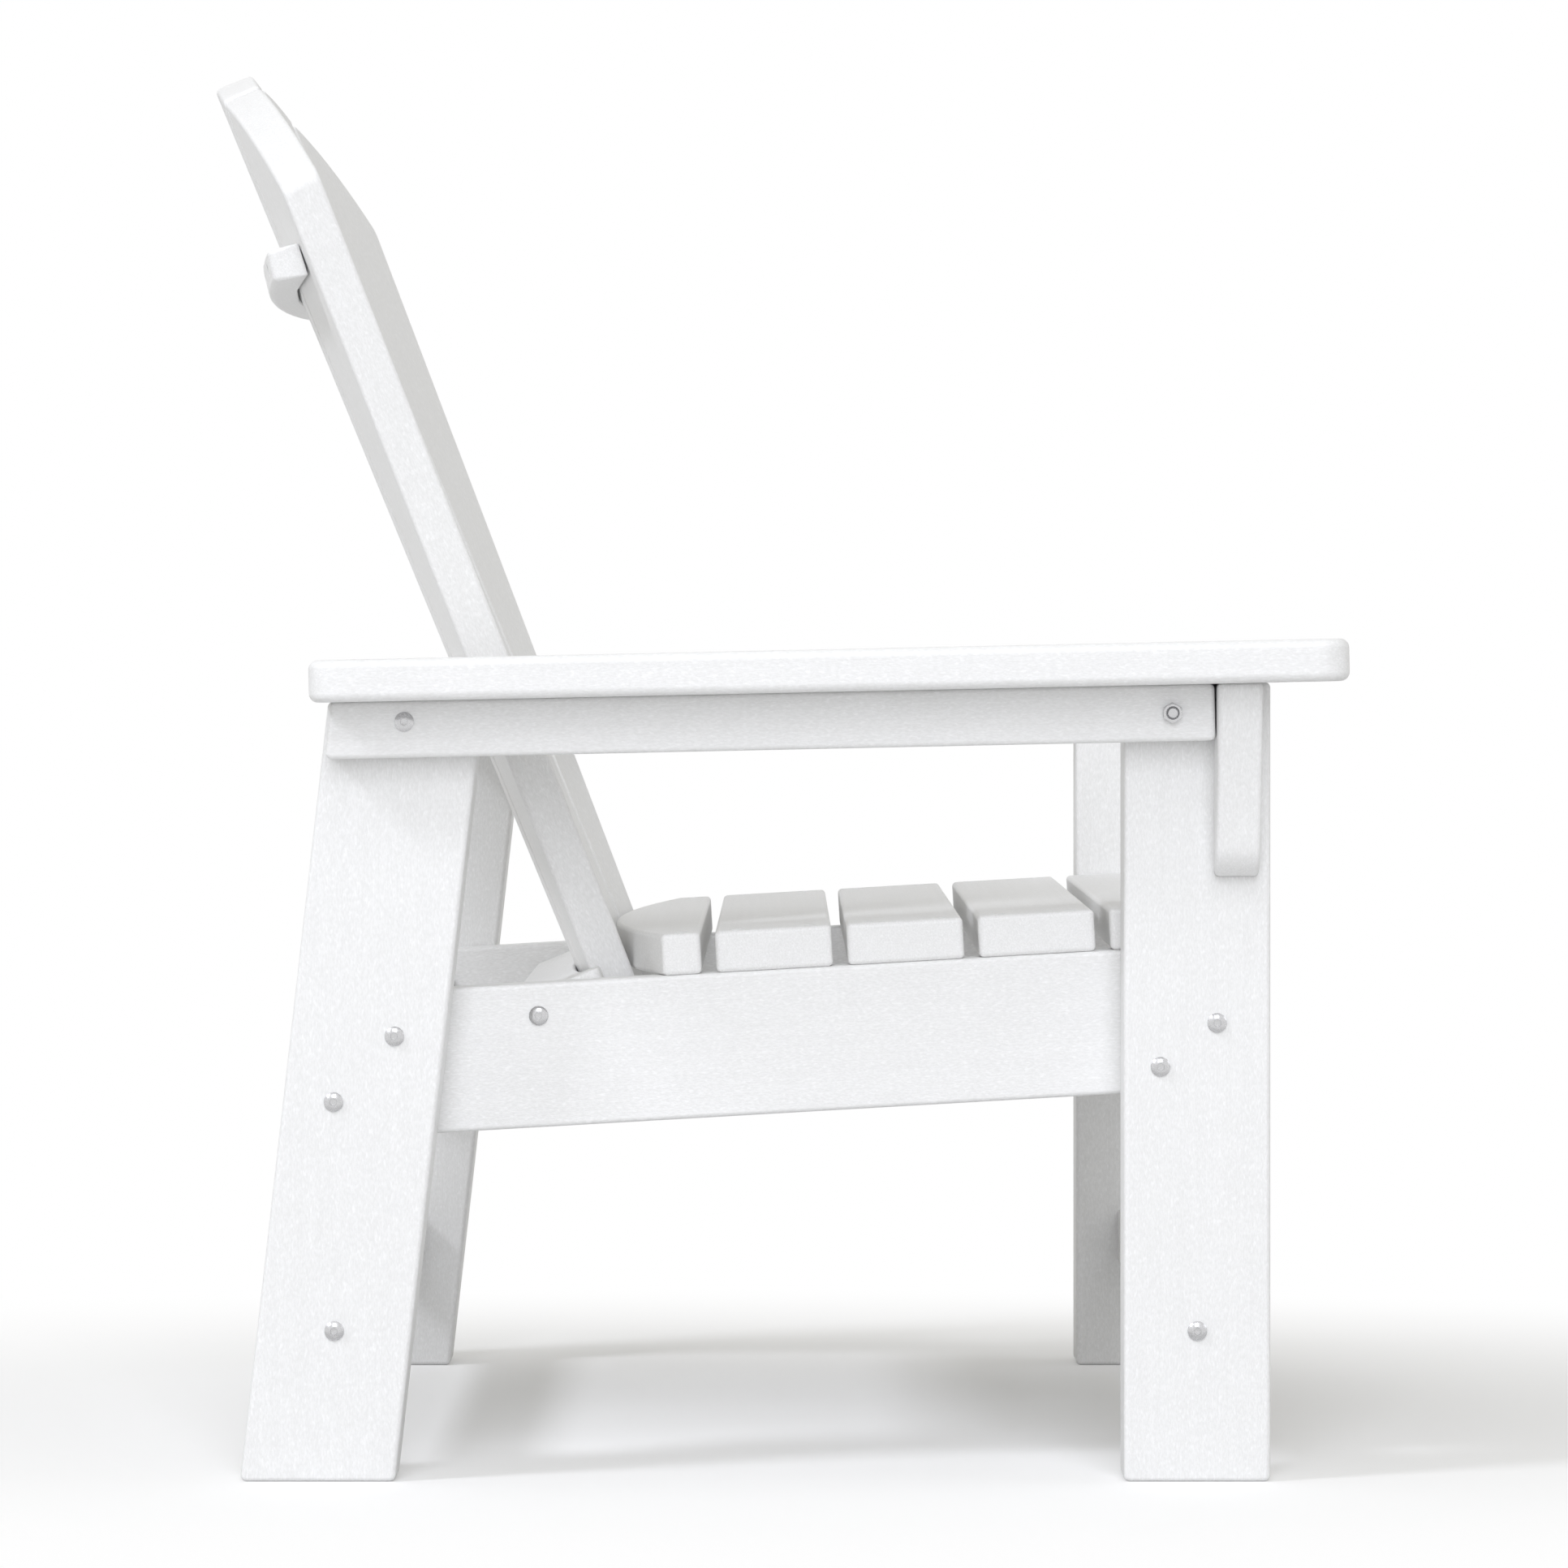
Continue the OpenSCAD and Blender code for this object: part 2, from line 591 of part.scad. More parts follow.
// Its outline, seen from the front: a rounded foot, then straight out to the top
module bracket_outline() {
    intersection() {
        translate([0, bracket_foot_r]) circle(bracket_foot_r);
        square([bracket_foot_r, bracket_foot_r]);
    }
    polygon([[0, bracket_foot_r], [bracket_foot_r, bracket_foot_r],
        [bracket_out, bracket_h], [bracket_out, bracket_h + 20], [0, bracket_h + 20]]);
}
module arm_bracket() color(board_colour) difference() {
    intersection() {
        at(leg_front - bracket_inset - bracket_t, arm_z - bracket_h
            + front_leg_fore * tan(arm_slope), half_out)
            rotate([90, 0, 0]) linear_extrude(bracket_t) bracket_outline();
        below_arms();
    }
    at_bracket_screws() screw_hole(leg_t + screw_bite);
}

// ---- Fasteners ----

module seat_rail_bolts() color(steel_colour) both_sides() at_seat_rail_bolts() bolt(seat_rail_bolt_len);
module seat_rail_nuts() color(steel_colour) both_sides() at_seat_rail_bolts()
    translate([0, 0, -leg_t - board_t - nut_h]) nut();
module stretcher_bolts() color(steel_colour) both_sides() at_stretcher_bolts()
    bolt(leg_t + barrel_bolt);
module brace_bolts() color(steel_colour) both_sides() {
    at_lower_brace_bolt() bolt(board_t + barrel_bolt);
    at_middle_brace_bolt() bolt(board_t + leg_t + barrel_bolt);
}
module barrel_nuts() color(steel_colour) both_sides() {
    for (p = stretchers_at) at(p[0], p[1], half_in - barrel_in) barrel_nut();
    brace_plane(lower_brace_up, recline)
        translate([rail_in - barrel_in, brace_waist + brace_gap - brace_bolt_in, 0]) barrel_nut();
    arm_plane() translate([half_in - barrel_in, -middle_bolt_fore, -board_t / 2]) barrel_nut();
}
module arm_rail_bolts() color(steel_colour) both_sides() at_front_arm_bolt() bolt(arm_bolt_len);
module arm_rail_nuts() color(steel_colour) both_sides() at_front_arm_bolt()
    translate([0, 0, -leg_t - board_t - nut_h]) nut();
module seat_slat_screws() color(steel_colour) at_seat_screws() screw(seat_screw_len);
module back_slat_screws() color(steel_colour) at_back_screws() screw($screw_len);
module armrest_screws() color(steel_colour) both_sides() at_armrest_screws() screw(arm_screw_len);
module bracket_screws() color(steel_colour) both_sides() at_bracket_screws()
    screw(leg_t + screw_bite);

chair() front_leg();  // left_front_leg
chair() right_side() front_leg();  // right_front_leg
chair() rear_leg();  // left_rear_leg
chair() right_side() rear_leg();  // right_rear_leg
chair() seat_rail();  // left_seat_rail
chair() right_side() seat_rail();  // right_seat_rail
chair() stretcher(0);  // front_stretcher
chair() stretcher(1);  // rear_stretcher
chair() curved_slat();  // curved_seat_slat
chair() seat_slat(3);  // rear_seat_slat
chair() seat_slat(2);  // middle_seat_slat
chair() seat_slat(1);  // front_seat_slat
chair() seat_slat(0);  // nose_seat_slat
chair() centre_slat();  // centre_back_slat
chair() inner_slat();  // left_inner_back_slat
chair() right_side() inner_slat();  // right_inner_back_slat
chair() outer_slat();  // left_outer_back_slat
chair() right_side() outer_slat();  // right_outer_back_slat
chair() lower_brace();  // lower_back_brace
chair() middle_brace();  // middle_back_brace
chair() upper_brace();  // upper_back_brace
chair() arm_rail();  // left_arm_rail
chair() right_side() arm_rail();  // right_arm_rail
chair() armrest();  // left_armrest
chair() right_side() armrest();  // right_armrest
chair() arm_bracket();  // left_arm_bracket
chair() right_side() arm_bracket();  // right_arm_bracket
chair() seat_rail_bolts();
chair() seat_rail_nuts();
chair() stretcher_bolts();
chair() brace_bolts();
chair() barrel_nuts();
chair() arm_rail_bolts();
chair() arm_rail_nuts();
chair() seat_slat_screws();
chair() back_slat_screws();
chair() armrest_screws();
chair() bracket_screws();
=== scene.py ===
"""Adirondack chair of white plastic lumber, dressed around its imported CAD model.

Every board is a rounded slab: an outline in the board's own plane, carried up through the
board's thickness and drawn in along a quarter circle at both faces.
"""
import math

import bpy
import numpy as np
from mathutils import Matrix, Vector
from mathutils.geometry import tessellate_polygon


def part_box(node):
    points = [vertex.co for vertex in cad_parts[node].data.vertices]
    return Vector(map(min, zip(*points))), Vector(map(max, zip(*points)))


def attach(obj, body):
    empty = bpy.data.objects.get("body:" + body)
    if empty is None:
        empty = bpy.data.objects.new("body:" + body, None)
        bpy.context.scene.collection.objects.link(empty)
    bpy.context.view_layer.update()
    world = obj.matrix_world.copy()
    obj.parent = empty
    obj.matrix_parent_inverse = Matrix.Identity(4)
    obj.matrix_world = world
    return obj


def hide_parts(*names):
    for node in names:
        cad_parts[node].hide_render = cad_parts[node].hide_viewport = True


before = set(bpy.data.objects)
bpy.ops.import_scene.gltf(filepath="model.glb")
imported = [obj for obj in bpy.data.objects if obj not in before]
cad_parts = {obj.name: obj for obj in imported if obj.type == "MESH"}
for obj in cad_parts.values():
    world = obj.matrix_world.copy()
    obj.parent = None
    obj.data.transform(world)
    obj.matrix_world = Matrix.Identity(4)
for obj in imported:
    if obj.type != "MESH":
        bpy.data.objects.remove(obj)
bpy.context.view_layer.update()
scene = bpy.context.scene
scene.view_settings.view_transform = "Standard"

# ---- Sizes, as in the part's source: millimetres and degrees ----
# "Fore" is a distance forward of a datum line across the seat

board_t, leg_t, edge_r = 25.4, 38.1, 3.0
inside_w, leg_front, front_leg_w = 515.0, 312.3, 88.9
rear_leg_w, rear_leg_lean = 93.4, 6.46
stretcher_z, stretcher_h, stretcher_t = 91.5, 38.1, 30.0
seat_z, seat_slope, rail_h = 307.5, 3.3, 88.3
seat_slat_w, nose_slat_w, curved_end_w, seat_gap, seat_slats = 71.6, 90.0, 23.5, 9.0, 3
recline, back_foot_z, back_to_seat, back_len = 22.4, 262.0, 1.5, 668.8
back_curve_r, back_slat_w, back_gap = 1043.0, 73.0, 5.0
outer_foot_w, outer_flare, arch_r = 44.0, 7.92, 344.0
brace_w, brace_waist, middle_brace_waist = 63.0, 39.4, 44.6
lower_notch_r, ear_w, ear_r, lower_brace_up = 1600.0, 27.0, 6.0, 38.2
upper_brace_up, upper_brace_t, upper_brace_slope = 528.8, 20.6, 13.8
upper_brace_half, upper_brace_waist, upper_brace_rear_r = 218.0, 16.8, 1400.0
arm_z, arm_slope, arm_w, arm_inset, arm_nose, arm_tail = 477.9, 1.22, 124.0, 20.0, 43.1, 12.0
arm_corner_r, arm_edge_r, arm_rail_h, arm_rail_inset = 18.0, 5.5, 34.4, 4.0
bracket_t, bracket_h, bracket_out, bracket_foot_r, bracket_inset = 26.8, 117.0, 40.0, 22.0, 7.7
barrel_d, barrel_len, barrel_in = 10.0, 16.0, 30.0
bolt_d, bolt_head_d, bolt_head_h, nut_af, nut_h = 6.0, 11.8, 3.4, 11.0, 5.2
socket_af, socket_depth, bolt_past_nut, bolt_past_barrel = 4.0, 2.0, 2.0, 8.0
rear_bolt_side, rear_bolt_rise = 18.4, 19.9
front_bolt_ahead, front_bolt_behind, front_bolt_rise, front_bolt_drop = 12.0, 22.3, 13.3, 14.0
screw_d, screw_head_d, screw_sink = 4.2, 8.6, 0.8
brace_gap, bracket_gap, thread_gap = 0.2, 1.3, 0.12
rail_end, nose_set_back = 6.0, 4.7
seat_screw_edge, curved_screw_in, arm_screw_in = 14.0, 12.0, 90.0
brace_bolt_in, brace_screw_in, brace_screw_end, slat_screw_in = 19.5, 28.0, 23.0, 20.0

# ---- Sizes of what only this model shows ----

corner_r = edge_r + 0.6                  # in a board's outline, round its edges' own rounding
arch_corner_r = 12.0                     # where the arch meets the back's flared side
ear_edge_r = 2.0                         # edges of the lower brace
crescent_front_r, crescent_rear_r = 2.0, 4.5          # corners of the upper brace
crescent_front_edge_r, crescent_rear_edge_r = 1.2, edge_r + 0.5
screw_seat_half = 7.0                    # half the straight stretch of an edge at each screw
screw_hole_depth, screw_rim = 12.0, 0.05
thread_pitch, thread_depth, threaded = 1.0, 0.32, 24.0
bolt_chamfer, bolt_tip_r = 0.3, 0.2
head_seat_rim, head_side_rim, dome_share = 0.25, 0.2, 0.7
socket_land, socket_mouth, socket_lip_h, socket_lip_depth = 0.75, 0.12, 0.05, 0.15
socket_tip_r, socket_tip_depth = 0.25, 0.4
nut_countersink, nut_far_countersink, nut_rim = 0.9, 1.4, 0.2
board_most_off, turned_most_off = 3.5, 0.8            # from the box of the CAD node


def sin(degrees):
    return math.sin(math.radians(degrees))


def cos(degrees):
    return math.cos(math.radians(degrees))


def tan(degrees):
    return math.tan(math.radians(degrees))


def arc(x, r):
    """Drop of a circle of radius r below its top, at a distance x from the top."""
    return r - np.sqrt(r * r - np.square(x))


half_in = inside_w / 2
half_out = half_in + leg_t
rail_in = half_in - board_t
front_leg_fore = leg_front - front_leg_w / 2
nose_front = (leg_front - nose_set_back) / cos(seat_slope)


def slat_front(i):
    """Front edge of seat slat i, measured along the seat. The nose is slat 0."""
    if i == 0:
        return nose_front
    return nose_front - nose_slat_w - seat_gap - (i - 1) * (seat_slat_w + seat_gap)


curved_front = slat_front(seat_slats + 1)
curved_r = back_curve_r * cos(recline)
curved_rear = curved_front - curved_end_w - arc(half_in, curved_r)
back_foot_fore = (curved_rear * cos(seat_slope) - back_to_seat / cos(recline)
                  + (seat_z + curved_rear * sin(seat_slope) - back_foot_z) * tan(recline))
middle_slat_rear = ((-back_foot_fore + board_t / cos(recline) + board_t / 2 * sin(arm_slope)
                     + (arm_z - board_t / 2 * cos(arm_slope) - back_foot_z) * tan(recline))
                    / (cos(arm_slope) + sin(arm_slope) * tan(recline)))
middle_rear = -middle_slat_rear - middle_brace_waist
middle_bolt_fore = middle_rear + brace_bolt_in
rear_foot_w = rear_leg_w / cos(rear_leg_lean)


def rear_leg_fore(z):
    """Where the rear leg's middle line is at a height z."""
    return middle_bolt_fore + (z - arm_z) * tan(rear_leg_lean)


rail_front = leg_front - rail_end
rail_rear = rear_leg_fore(seat_z) - rear_foot_w / 2 + rail_end
rail_len = (rail_front - rail_rear) / cos(seat_slope)
rail_mid = (rail_front + rail_rear) / 2 / cos(seat_slope)
slat_inner_x = back_slat_w / 2 + back_gap
slat_outer_x = slat_inner_x + back_slat_w + back_gap
rear_face_r = math.hypot(back_curve_r + board_t, back_slat_w / 2)
notch_half = rail_in - ear_w
arm_front = leg_front + arm_nose
arm_rail_front = leg_front - bracket_inset - bracket_t - bracket_gap
arm_rail_rear = rear_leg_fore(arm_z) - rear_foot_w / 2 + arm_rail_inset
arm_len = (arm_front - arm_rail_rear + arm_tail) / cos(arm_slope)
arm_mid = arm_front / cos(arm_slope) - arm_len / 2
crest_fore = back_foot_fore - back_len * sin(recline) - board_t * cos(recline)
box_mid_fore = (arm_front - arm_edge_r * sin(arm_slope) + crest_fore) / 2


# ---- Frames of reference ----

def shift(x, y, z):
    matrix = np.eye(4)
    matrix[:3, 3] = x, y, z
    return matrix


def turn(axis, degrees):
    """Turn by the right-hand rule about the x axis (0) or the z axis (2)."""
    c, s = cos(degrees), sin(degrees)
    i, j = (1, 2) if axis == 0 else (0, 1)
    matrix = np.eye(4)
    matrix[i, i] = matrix[j, j] = c
    matrix[i, j], matrix[j, i] = -s, s
    return matrix


def at(fore, z, x=0.0):
    """A place so far forward of the datum line. y points back from the chair's middle."""
    return shift(x, box_mid_fore - fore, z)


seat_plane = at(0, seat_z) @ turn(0, -seat_slope)
arm_plane = at(0, arm_z) @ turn(0, -arm_slope)
back_plane = at(back_foot_fore, back_foot_z) @ turn(0, -recline)


def brace_plane(up, slope):
    """Frame of a brace so far up the back's rear face, with a slope of its own."""
    return back_plane @ shift(0, board_t, up) @ turn(0, recline - slope)


def axes(u, v, w):
    """Matrix that lays a board's own directions u, v and w along those of a frame, x, y or z."""
    matrix = np.zeros((4, 4))
    matrix[3, 3] = 1
    for column, axis in enumerate((u, v, w)):
        matrix["xyz".index(axis), column] = 1
    return matrix


# ---- Board shapes ----

ROUND_STEPS = 5      # facets along each rounded edge
CORNER_STEPS = 6     # facets round each corner of an outline
HOLE_SIDES = 24
WELD_DECIMALS = 4    # of a millimetre
CURVE_POINTS = 33    # along a board's long curved edge
SHORT_CURVE_POINTS = 17
NOTCH_POINTS = 25
FOOT_POINTS = 13
SOLVE_STEPS = 40     # of the sums that close in on where two edges meet
SOLVE_PACE = 0.9     # share of the way that one of those steps takes, where it could overshoot
NO_AREA = 1e-9


def fillet(corners, radii):
    """Rounds the corners of a closed outline.

    Between the directions d0 and d1 of the edges that meet at a corner, which turn by an
    angle a, lies an arc of radius R. It touches both edges at R tan(a / 2) from the corner.
    Each of its points is the centre plus R times a normal that turns evenly from the normal
    of one edge to that of the other. A corner of radius 0 keeps one point, with the middle
    normal. corners is (n, 2); the result is the points and their normals.
    """
    corners, radii = np.asarray(corners, float), np.asarray(radii, float)
    before = corners - np.roll(corners, 1, 0)
    after = np.roll(before, -1, 0)
    before /= np.linalg.norm(before, axis=1)[:, None]
    after /= np.linalg.norm(after, axis=1)[:, None]
    angle = np.arctan2(before[:, 0] * after[:, 1] - before[:, 1] * after[:, 0],
                       (before * after).sum(1))
    normal = np.stack([before[:, 1], -before[:, 0]], 1)
    side = np.sign(angle) * radii
    centre = corners - before * (radii * np.tan(abs(angle) / 2))[:, None] - normal * side[:, None]
    part = np.tile(np.linspace(0, 1, CORNER_STEPS + 1), (len(corners), 1))
    part[radii == 0] = 0.5
    swing = angle[:, None] * part
    c, s = np.cos(swing), np.sin(swing)
    normals = np.stack([normal[:, :1] * c - normal[:, 1:] * s,
                        normal[:, :1] * s + normal[:, 1:] * c], 2)
    points = centre[:, None] + side[:, None, None] * normals
    keep = np.ones(part.shape, bool)
    keep[radii == 0, 1:] = False
    return points[keep], normals[keep]


class Patches:
    """Parts of one closed surface, each with its own points, normals and faces."""

    def __init__(self):
        self.points, self.normals, self.faces, self.count = [], [], [], 0

    def add(self, points, normals, faces):
        self.points.append(points)
        self.normals.append(np.broadcast_to(normals, points.shape))
        self.faces.append(np.asarray(faces) + self.count)
        self.count += len(points)

    def strip(self, rings, normals):
        """Quads between rings of points that follow each other: (rings, points, 3)."""
        m, n = rings.shape[:2]
        ring, i = np.meshgrid(np.arange(m - 1), np.arange(n), indexing="ij")
        a, b = ring * n + i, ring * n + (i + 1) % n
        quads = np.stack([a, b, b + n, a + n], 2).reshape(-1, 4)
        self.add(rings.reshape(-1, 3), normals.reshape(-1, 3), quads)

    def sheet(self, loops, normals, flat):
        """A flat face with holes. flat gives each loop's points as seen from outside."""
        triangles = np.array(tessellate_polygon(
            [[Vector((*p, 0)) for p in loop] for loop in flat]))
        seen = np.concatenate(flat)[triangles]
        one, two = seen[:, 1] - seen[:, 0], seen[:, 2] - seen[:, 0]
        area = one[:, 0] * two[:, 1] - one[:, 1] * two[:, 0]
        triangles[area < 0] = triangles[area < 0, ::-1]
        self.add(np.concatenate(loops), normals, triangles[abs(area) > NO_AREA])

    def hole(self, centre, out, across, profile):
        """A turned hole. Its wall is a circle of radius r at depth d for each (r, d) of the
        profile, and its normals point at the axis, tilted by the slope of the profile."""
        along = np.cross(out, across)
        angle = np.linspace(0, 2 * np.pi, HOLE_SIDES, endpoint=False)[:, None]
        radial = np.cos(angle) * across + np.sin(angle) * along
        r, d = np.array(profile).T
        rings = centre + r[:, None, None] * radial - d[:, None, None] * out
        for i in range(len(r) - 1):
            slope = np.array([r[i] - r[i + 1], d[i + 1] - d[i]])
            slope /= np.linalg.norm(slope)
            normal = slope[0] * out - slope[1] * radial
            self.strip(rings[i:i + 2], np.stack([normal, normal]))
        self.add(rings[-1], out, [np.arange(HOLE_SIDES)])
        return rings[0]


def as_3d(points, w):
    return np.concatenate([points, np.full((len(points), 1), w)], 1)


def slab(corners, radii, t, r, top_holes=(), bottom_holes=(), wall_holes=()):
    """A board with rounded edges, in its own directions u, v and w, centred on w = 0.

    At an angle a from 0 to 90 degrees, a ring lies r(1 - cos a) in from the outline and
    r(1 - sin a) below the face, and its normal is cos a of the wall's and sin a of the
    face's. corners holds the outline at the bottom face and at the top one, which may
    differ: the wall then leans. r is one radius, or one for each corner. Holes are
    ((u, v), profile).
    """
    corners = np.asarray(corners, float)
    if corners.ndim == 2:
        corners = np.stack([corners, corners])
    lean = (corners[1] - corners[0]) / t
    mean = corners.mean(0)
    points, normals = fillet(mean, radii)
    counts = np.where(np.asarray(radii) == 0, 1, CORNER_STEPS + 1)
    lean = np.repeat(lean, counts, 0)
    r = np.repeat(np.broadcast_to(r, len(counts)), counts)
    wall = as_3d(normals, 0)
    wall[:, 2] = -(normals * lean).sum(1)
    wall /= np.linalg.norm(wall, axis=1)[:, None]

    a = np.linspace(0, np.pi / 2, ROUND_STEPS + 1)
    a = np.concatenate([-a[::-1], a])
    upper = np.repeat([-1.0, 1.0], ROUND_STEPS + 1)[:, None]
    inset, w = (1 - np.cos(a))[:, None] * r, upper * (t / 2 - r) + np.sin(a)[:, None] * r
    uv = points + w[..., None] * lean - inset[..., None] * normals
    rings = np.concatenate([uv, w[..., None]], 2)
    up = np.array([0.0, 0.0, 1.0])
    ring_normals = np.cos(a)[:, None, None] * wall + np.sin(a)[:, None, None] * up

    surface = Patches()
    low, high = ROUND_STEPS, ROUND_STEPS + 1        # the wall's two rings
    surface.strip(rings[:high], ring_normals[:high])
    surface.strip(rings[high:], ring_normals[high:])

    # The wall, with holes where screws go in
    n = len(points)
    middle = (points + np.roll(points, -1, 0)) / 2
    drilled = {}
    for place, profile in wall_holes:
        i = int(np.argmin(np.linalg.norm(middle - place, axis=1)))
        drilled[i] = profile
    i = np.setdiff1d(np.arange(n), list(drilled))
    j = (i + 1) % n
    surface.add(rings[low:high + 1].reshape(-1, 3), ring_normals[low:high + 1].reshape(-1, 3),
                np.stack([i, j, n + j, n + i], 1))
    for i, profile in drilled.items():
        j = (i + 1) % n
        centre = as_3d(middle[i:i + 1], 0)[0]
        out = wall[i] + wall[j]
        out /= np.linalg.norm(out)
        across = rings[low, j] - rings[low, i]
        length = np.linalg.norm(across)
        across /= length
        second = np.cross(out, across)
        mouth = surface.hole(centre, out, across, profile)
        border = np.stack([rings[low, i], rings[low, j], rings[high, j], rings[high, i]])
        flat = [np.stack([(loop - centre) @ across, (loop - centre) @ second], 1)
                for loop in (border, mouth)]
        part = ((np.concatenate([border, mouth]) - rings[low, i]) @ across / length)[:, None]
        surface.sheet([border, mouth], wall[i] * (1 - part) + wall[j] * part, flat)

    # The two faces
    for ring, out, holes in ((rings[-1], up, top_holes), (rings[0], -up, bottom_holes)):
        across = np.array([1.0, 0.0, 0.0])
        loops = [ring]
        for place, profile in holes:
            loops.append(surface.hole(np.array([*place, ring[0, 2]]), out, across, profile))
        second = np.cross(out, across)
        surface.sheet(loops, out, [np.stack([loop @ across, loop @ second], 1) for loop in loops])
    return surface


made = {"lumber": [], "steel": []}


def make_piece(node, kind, slot, mesh, points, most_off):
    """Puts a mesh in its CAD node's place, and stops if the two boxes differ by more than
    most_off on any side. points are its points in millimetres."""
    piece = bpy.data.objects.new(f"{node}_{kind}", mesh)
    scene.collection.objects.link(piece)
    made[slot].append(piece)
    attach(piece, "root")
    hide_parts(node)
    low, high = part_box(node)
    off = max(np.abs(points.min(0) - np.array(low) * 1000).max(),
              np.abs(points.max(0) - np.array(high) * 1000).max())
    if off > most_off:
        raise ValueError(f"{node} is {off:.2f} mm off its CAD node")


def board(node, surface, place, along="u", mirrored=False):
    """Puts a slab where its CAD node is, as one mesh, and keeps its grain: along, across and
    into the board, in metres, from a start of its own."""
    local = np.concatenate(surface.points)
    normals = np.concatenate(surface.normals) @ place[:3, :3].T
    points = local @ place[:3, :3].T + place[:3, 3]
    flip = np.linalg.det(place[:3, :3]) < 0
    if mirrored:
        points, normals = points * [-1, 1, 1], normals * [-1, 1, 1]
        flip = not flip
    faces = [patch[:, ::-1] for patch in surface.faces] if flip else surface.faces

    # Points that the patches share become one
    _, first, same = np.unique(np.round(points, WELD_DECIMALS), axis=0, return_index=True,
                               return_inverse=True)
    same = same.reshape(-1)
    mesh = bpy.data.meshes.new(node + "_board")
    mesh.from_pydata(points[first] / 1000, [],
                     [face for patch in faces for face in same[patch].tolist()])
    mesh.polygons.foreach_set("use_smooth", np.ones(len(mesh.polygons), bool))
    mesh.normals_split_custom_set(normals[np.concatenate([patch.ravel() for patch in faces])])

    order = {"u": [0, 1, 2], "v": [1, 0, 2]}[along]
    start = np.random.default_rng(len(made["lumber"])).uniform(0, 4, 3)
    grain = mesh.attributes.new("grain", "FLOAT_VECTOR", "POINT")
    grain.data.foreach_set("vector", (local[first][:, order] / 1000 + start).ravel())
    make_piece(node, "board", "lumber", mesh, points, board_most_off)


def pair(name, surface, place, along="u"):
    board("left_" + name, surface, place, along)
    board("right_" + name, surface, place, along, mirrored=True)


def rectangle(u0, u1, v0, v1):
    return [(u0, v0), (u1, v0), (u1, v1), (u0, v1)]


def corner_radii(outline, *kinds):
    """0 for each corner of an outline but those of each (radius, corners) given."""
    radii = np.zeros(len(outline))
    for radius, corners in kinds:
        radii[corners] = radius
    return radii


screw_head_hole_r, screw_hole_r = screw_head_d / 2 + thread_gap, screw_d / 2 + thread_gap
screw_hole = [(screw_head_hole_r, 0),
              (screw_head_hole_r, screw_sink + screw_rim),
              (screw_hole_r, screw_sink + (screw_head_d - screw_d) / 2),
              (screw_hole_r, screw_hole_depth)]


def screw_holes(places):
    return [(place, screw_hole) for place in places]


def barrel_holes(x, y, t):
    """Holes up into a board t thick for the barrel nuts at x and -x."""
    r = barrel_d / 2 + thread_gap
    return [((side * x, y), [(r, 0), (r, (t + barrel_len) / 2)]) for side in (1, -1)]


def legs():
    side = axes("y", "z", "x")

    def top(fore):
        return arm_z + fore * tan(arm_slope)

    front, rear = leg_front, leg_front - front_leg_w
    outline = [(-front, 0), (-rear, 0), (-rear, top(rear)), (-front, top(front))]
    middle = at(0, 0, half_in + leg_t / 2) @ side
    pair("front_leg", slab(outline, [corner_r] * 4, leg_t, edge_r), middle, "v")

    # The rear leg's two edges lean forward until they meet the armrest
    foot = rear_leg_fore(0) + np.array([rear_foot_w / 2, -rear_foot_w / 2])
    z = (arm_z + foot * tan(arm_slope)) / (1 - tan(rear_leg_lean) * tan(arm_slope))
    head = foot + z * tan(rear_leg_lean)
    outline = [(-foot[0], 0), (-foot[1], 0), (-head[1], z[1]), (-head[0], z[0])]
    pair("rear_leg", slab(outline, [corner_r] * 4, leg_t, edge_r), middle, "v")


def stretchers():
    outline = rectangle(-half_in, half_in, -stretcher_t / 2, stretcher_t / 2)
    surface = slab(outline, [corner_r] * 4, stretcher_h, edge_r,
                   bottom_holes=barrel_holes(half_in - barrel_in, 0, stretcher_h))
    board("front_stretcher", surface, at(front_leg_fore, stretcher_z))
    board("rear_stretcher", surface, at(rear_leg_fore(stretcher_z), stretcher_z))


def seat():
    outline = rectangle(-rail_mid - rail_len / 2, -rail_mid + rail_len / 2, -rail_h, 0)
    middle = seat_plane @ shift(half_in - board_t / 2, 0, 0) @ axes("y", "z", "x")
    pair("seat_rail", slab(outline, [corner_r] * 4, board_t, edge_r), middle)

    lie = seat_plane @ shift(0, 0, board_t / 2)
    screw_x = half_in - board_t / 2
    for i, name in enumerate(("nose", "front", "middle", "rear")):
        front = -slat_front(i)
        rear = front + (nose_slat_w if i == 0 else seat_slat_w)
        holes = screw_holes([(x, y) for x in (-screw_x, screw_x)
                             for y in (front + seat_screw_edge, rear - seat_screw_edge)])
        surface = slab(rectangle(-half_in, half_in, front, rear), [corner_r] * 4, board_t, edge_r,
                       top_holes=holes)
        board(name + "_seat_slat", surface, lie)

    x = np.linspace(half_in, -half_in, CURVE_POINTS)
    rear = np.stack([x, -curved_rear - arc(x, curved_r)], 1)
    outline = np.concatenate([[(-half_in, -curved_front), (half_in, -curved_front)], rear])
    radii = corner_radii(outline, (corner_r, [0, 1, 2, -1]))
    holes = screw_holes([(x, curved_screw_in - curved_front) for x in (-screw_x, screw_x)])
    board("curved_seat_slat", slab(outline, radii, board_t, edge_r, top_holes=holes), lie)


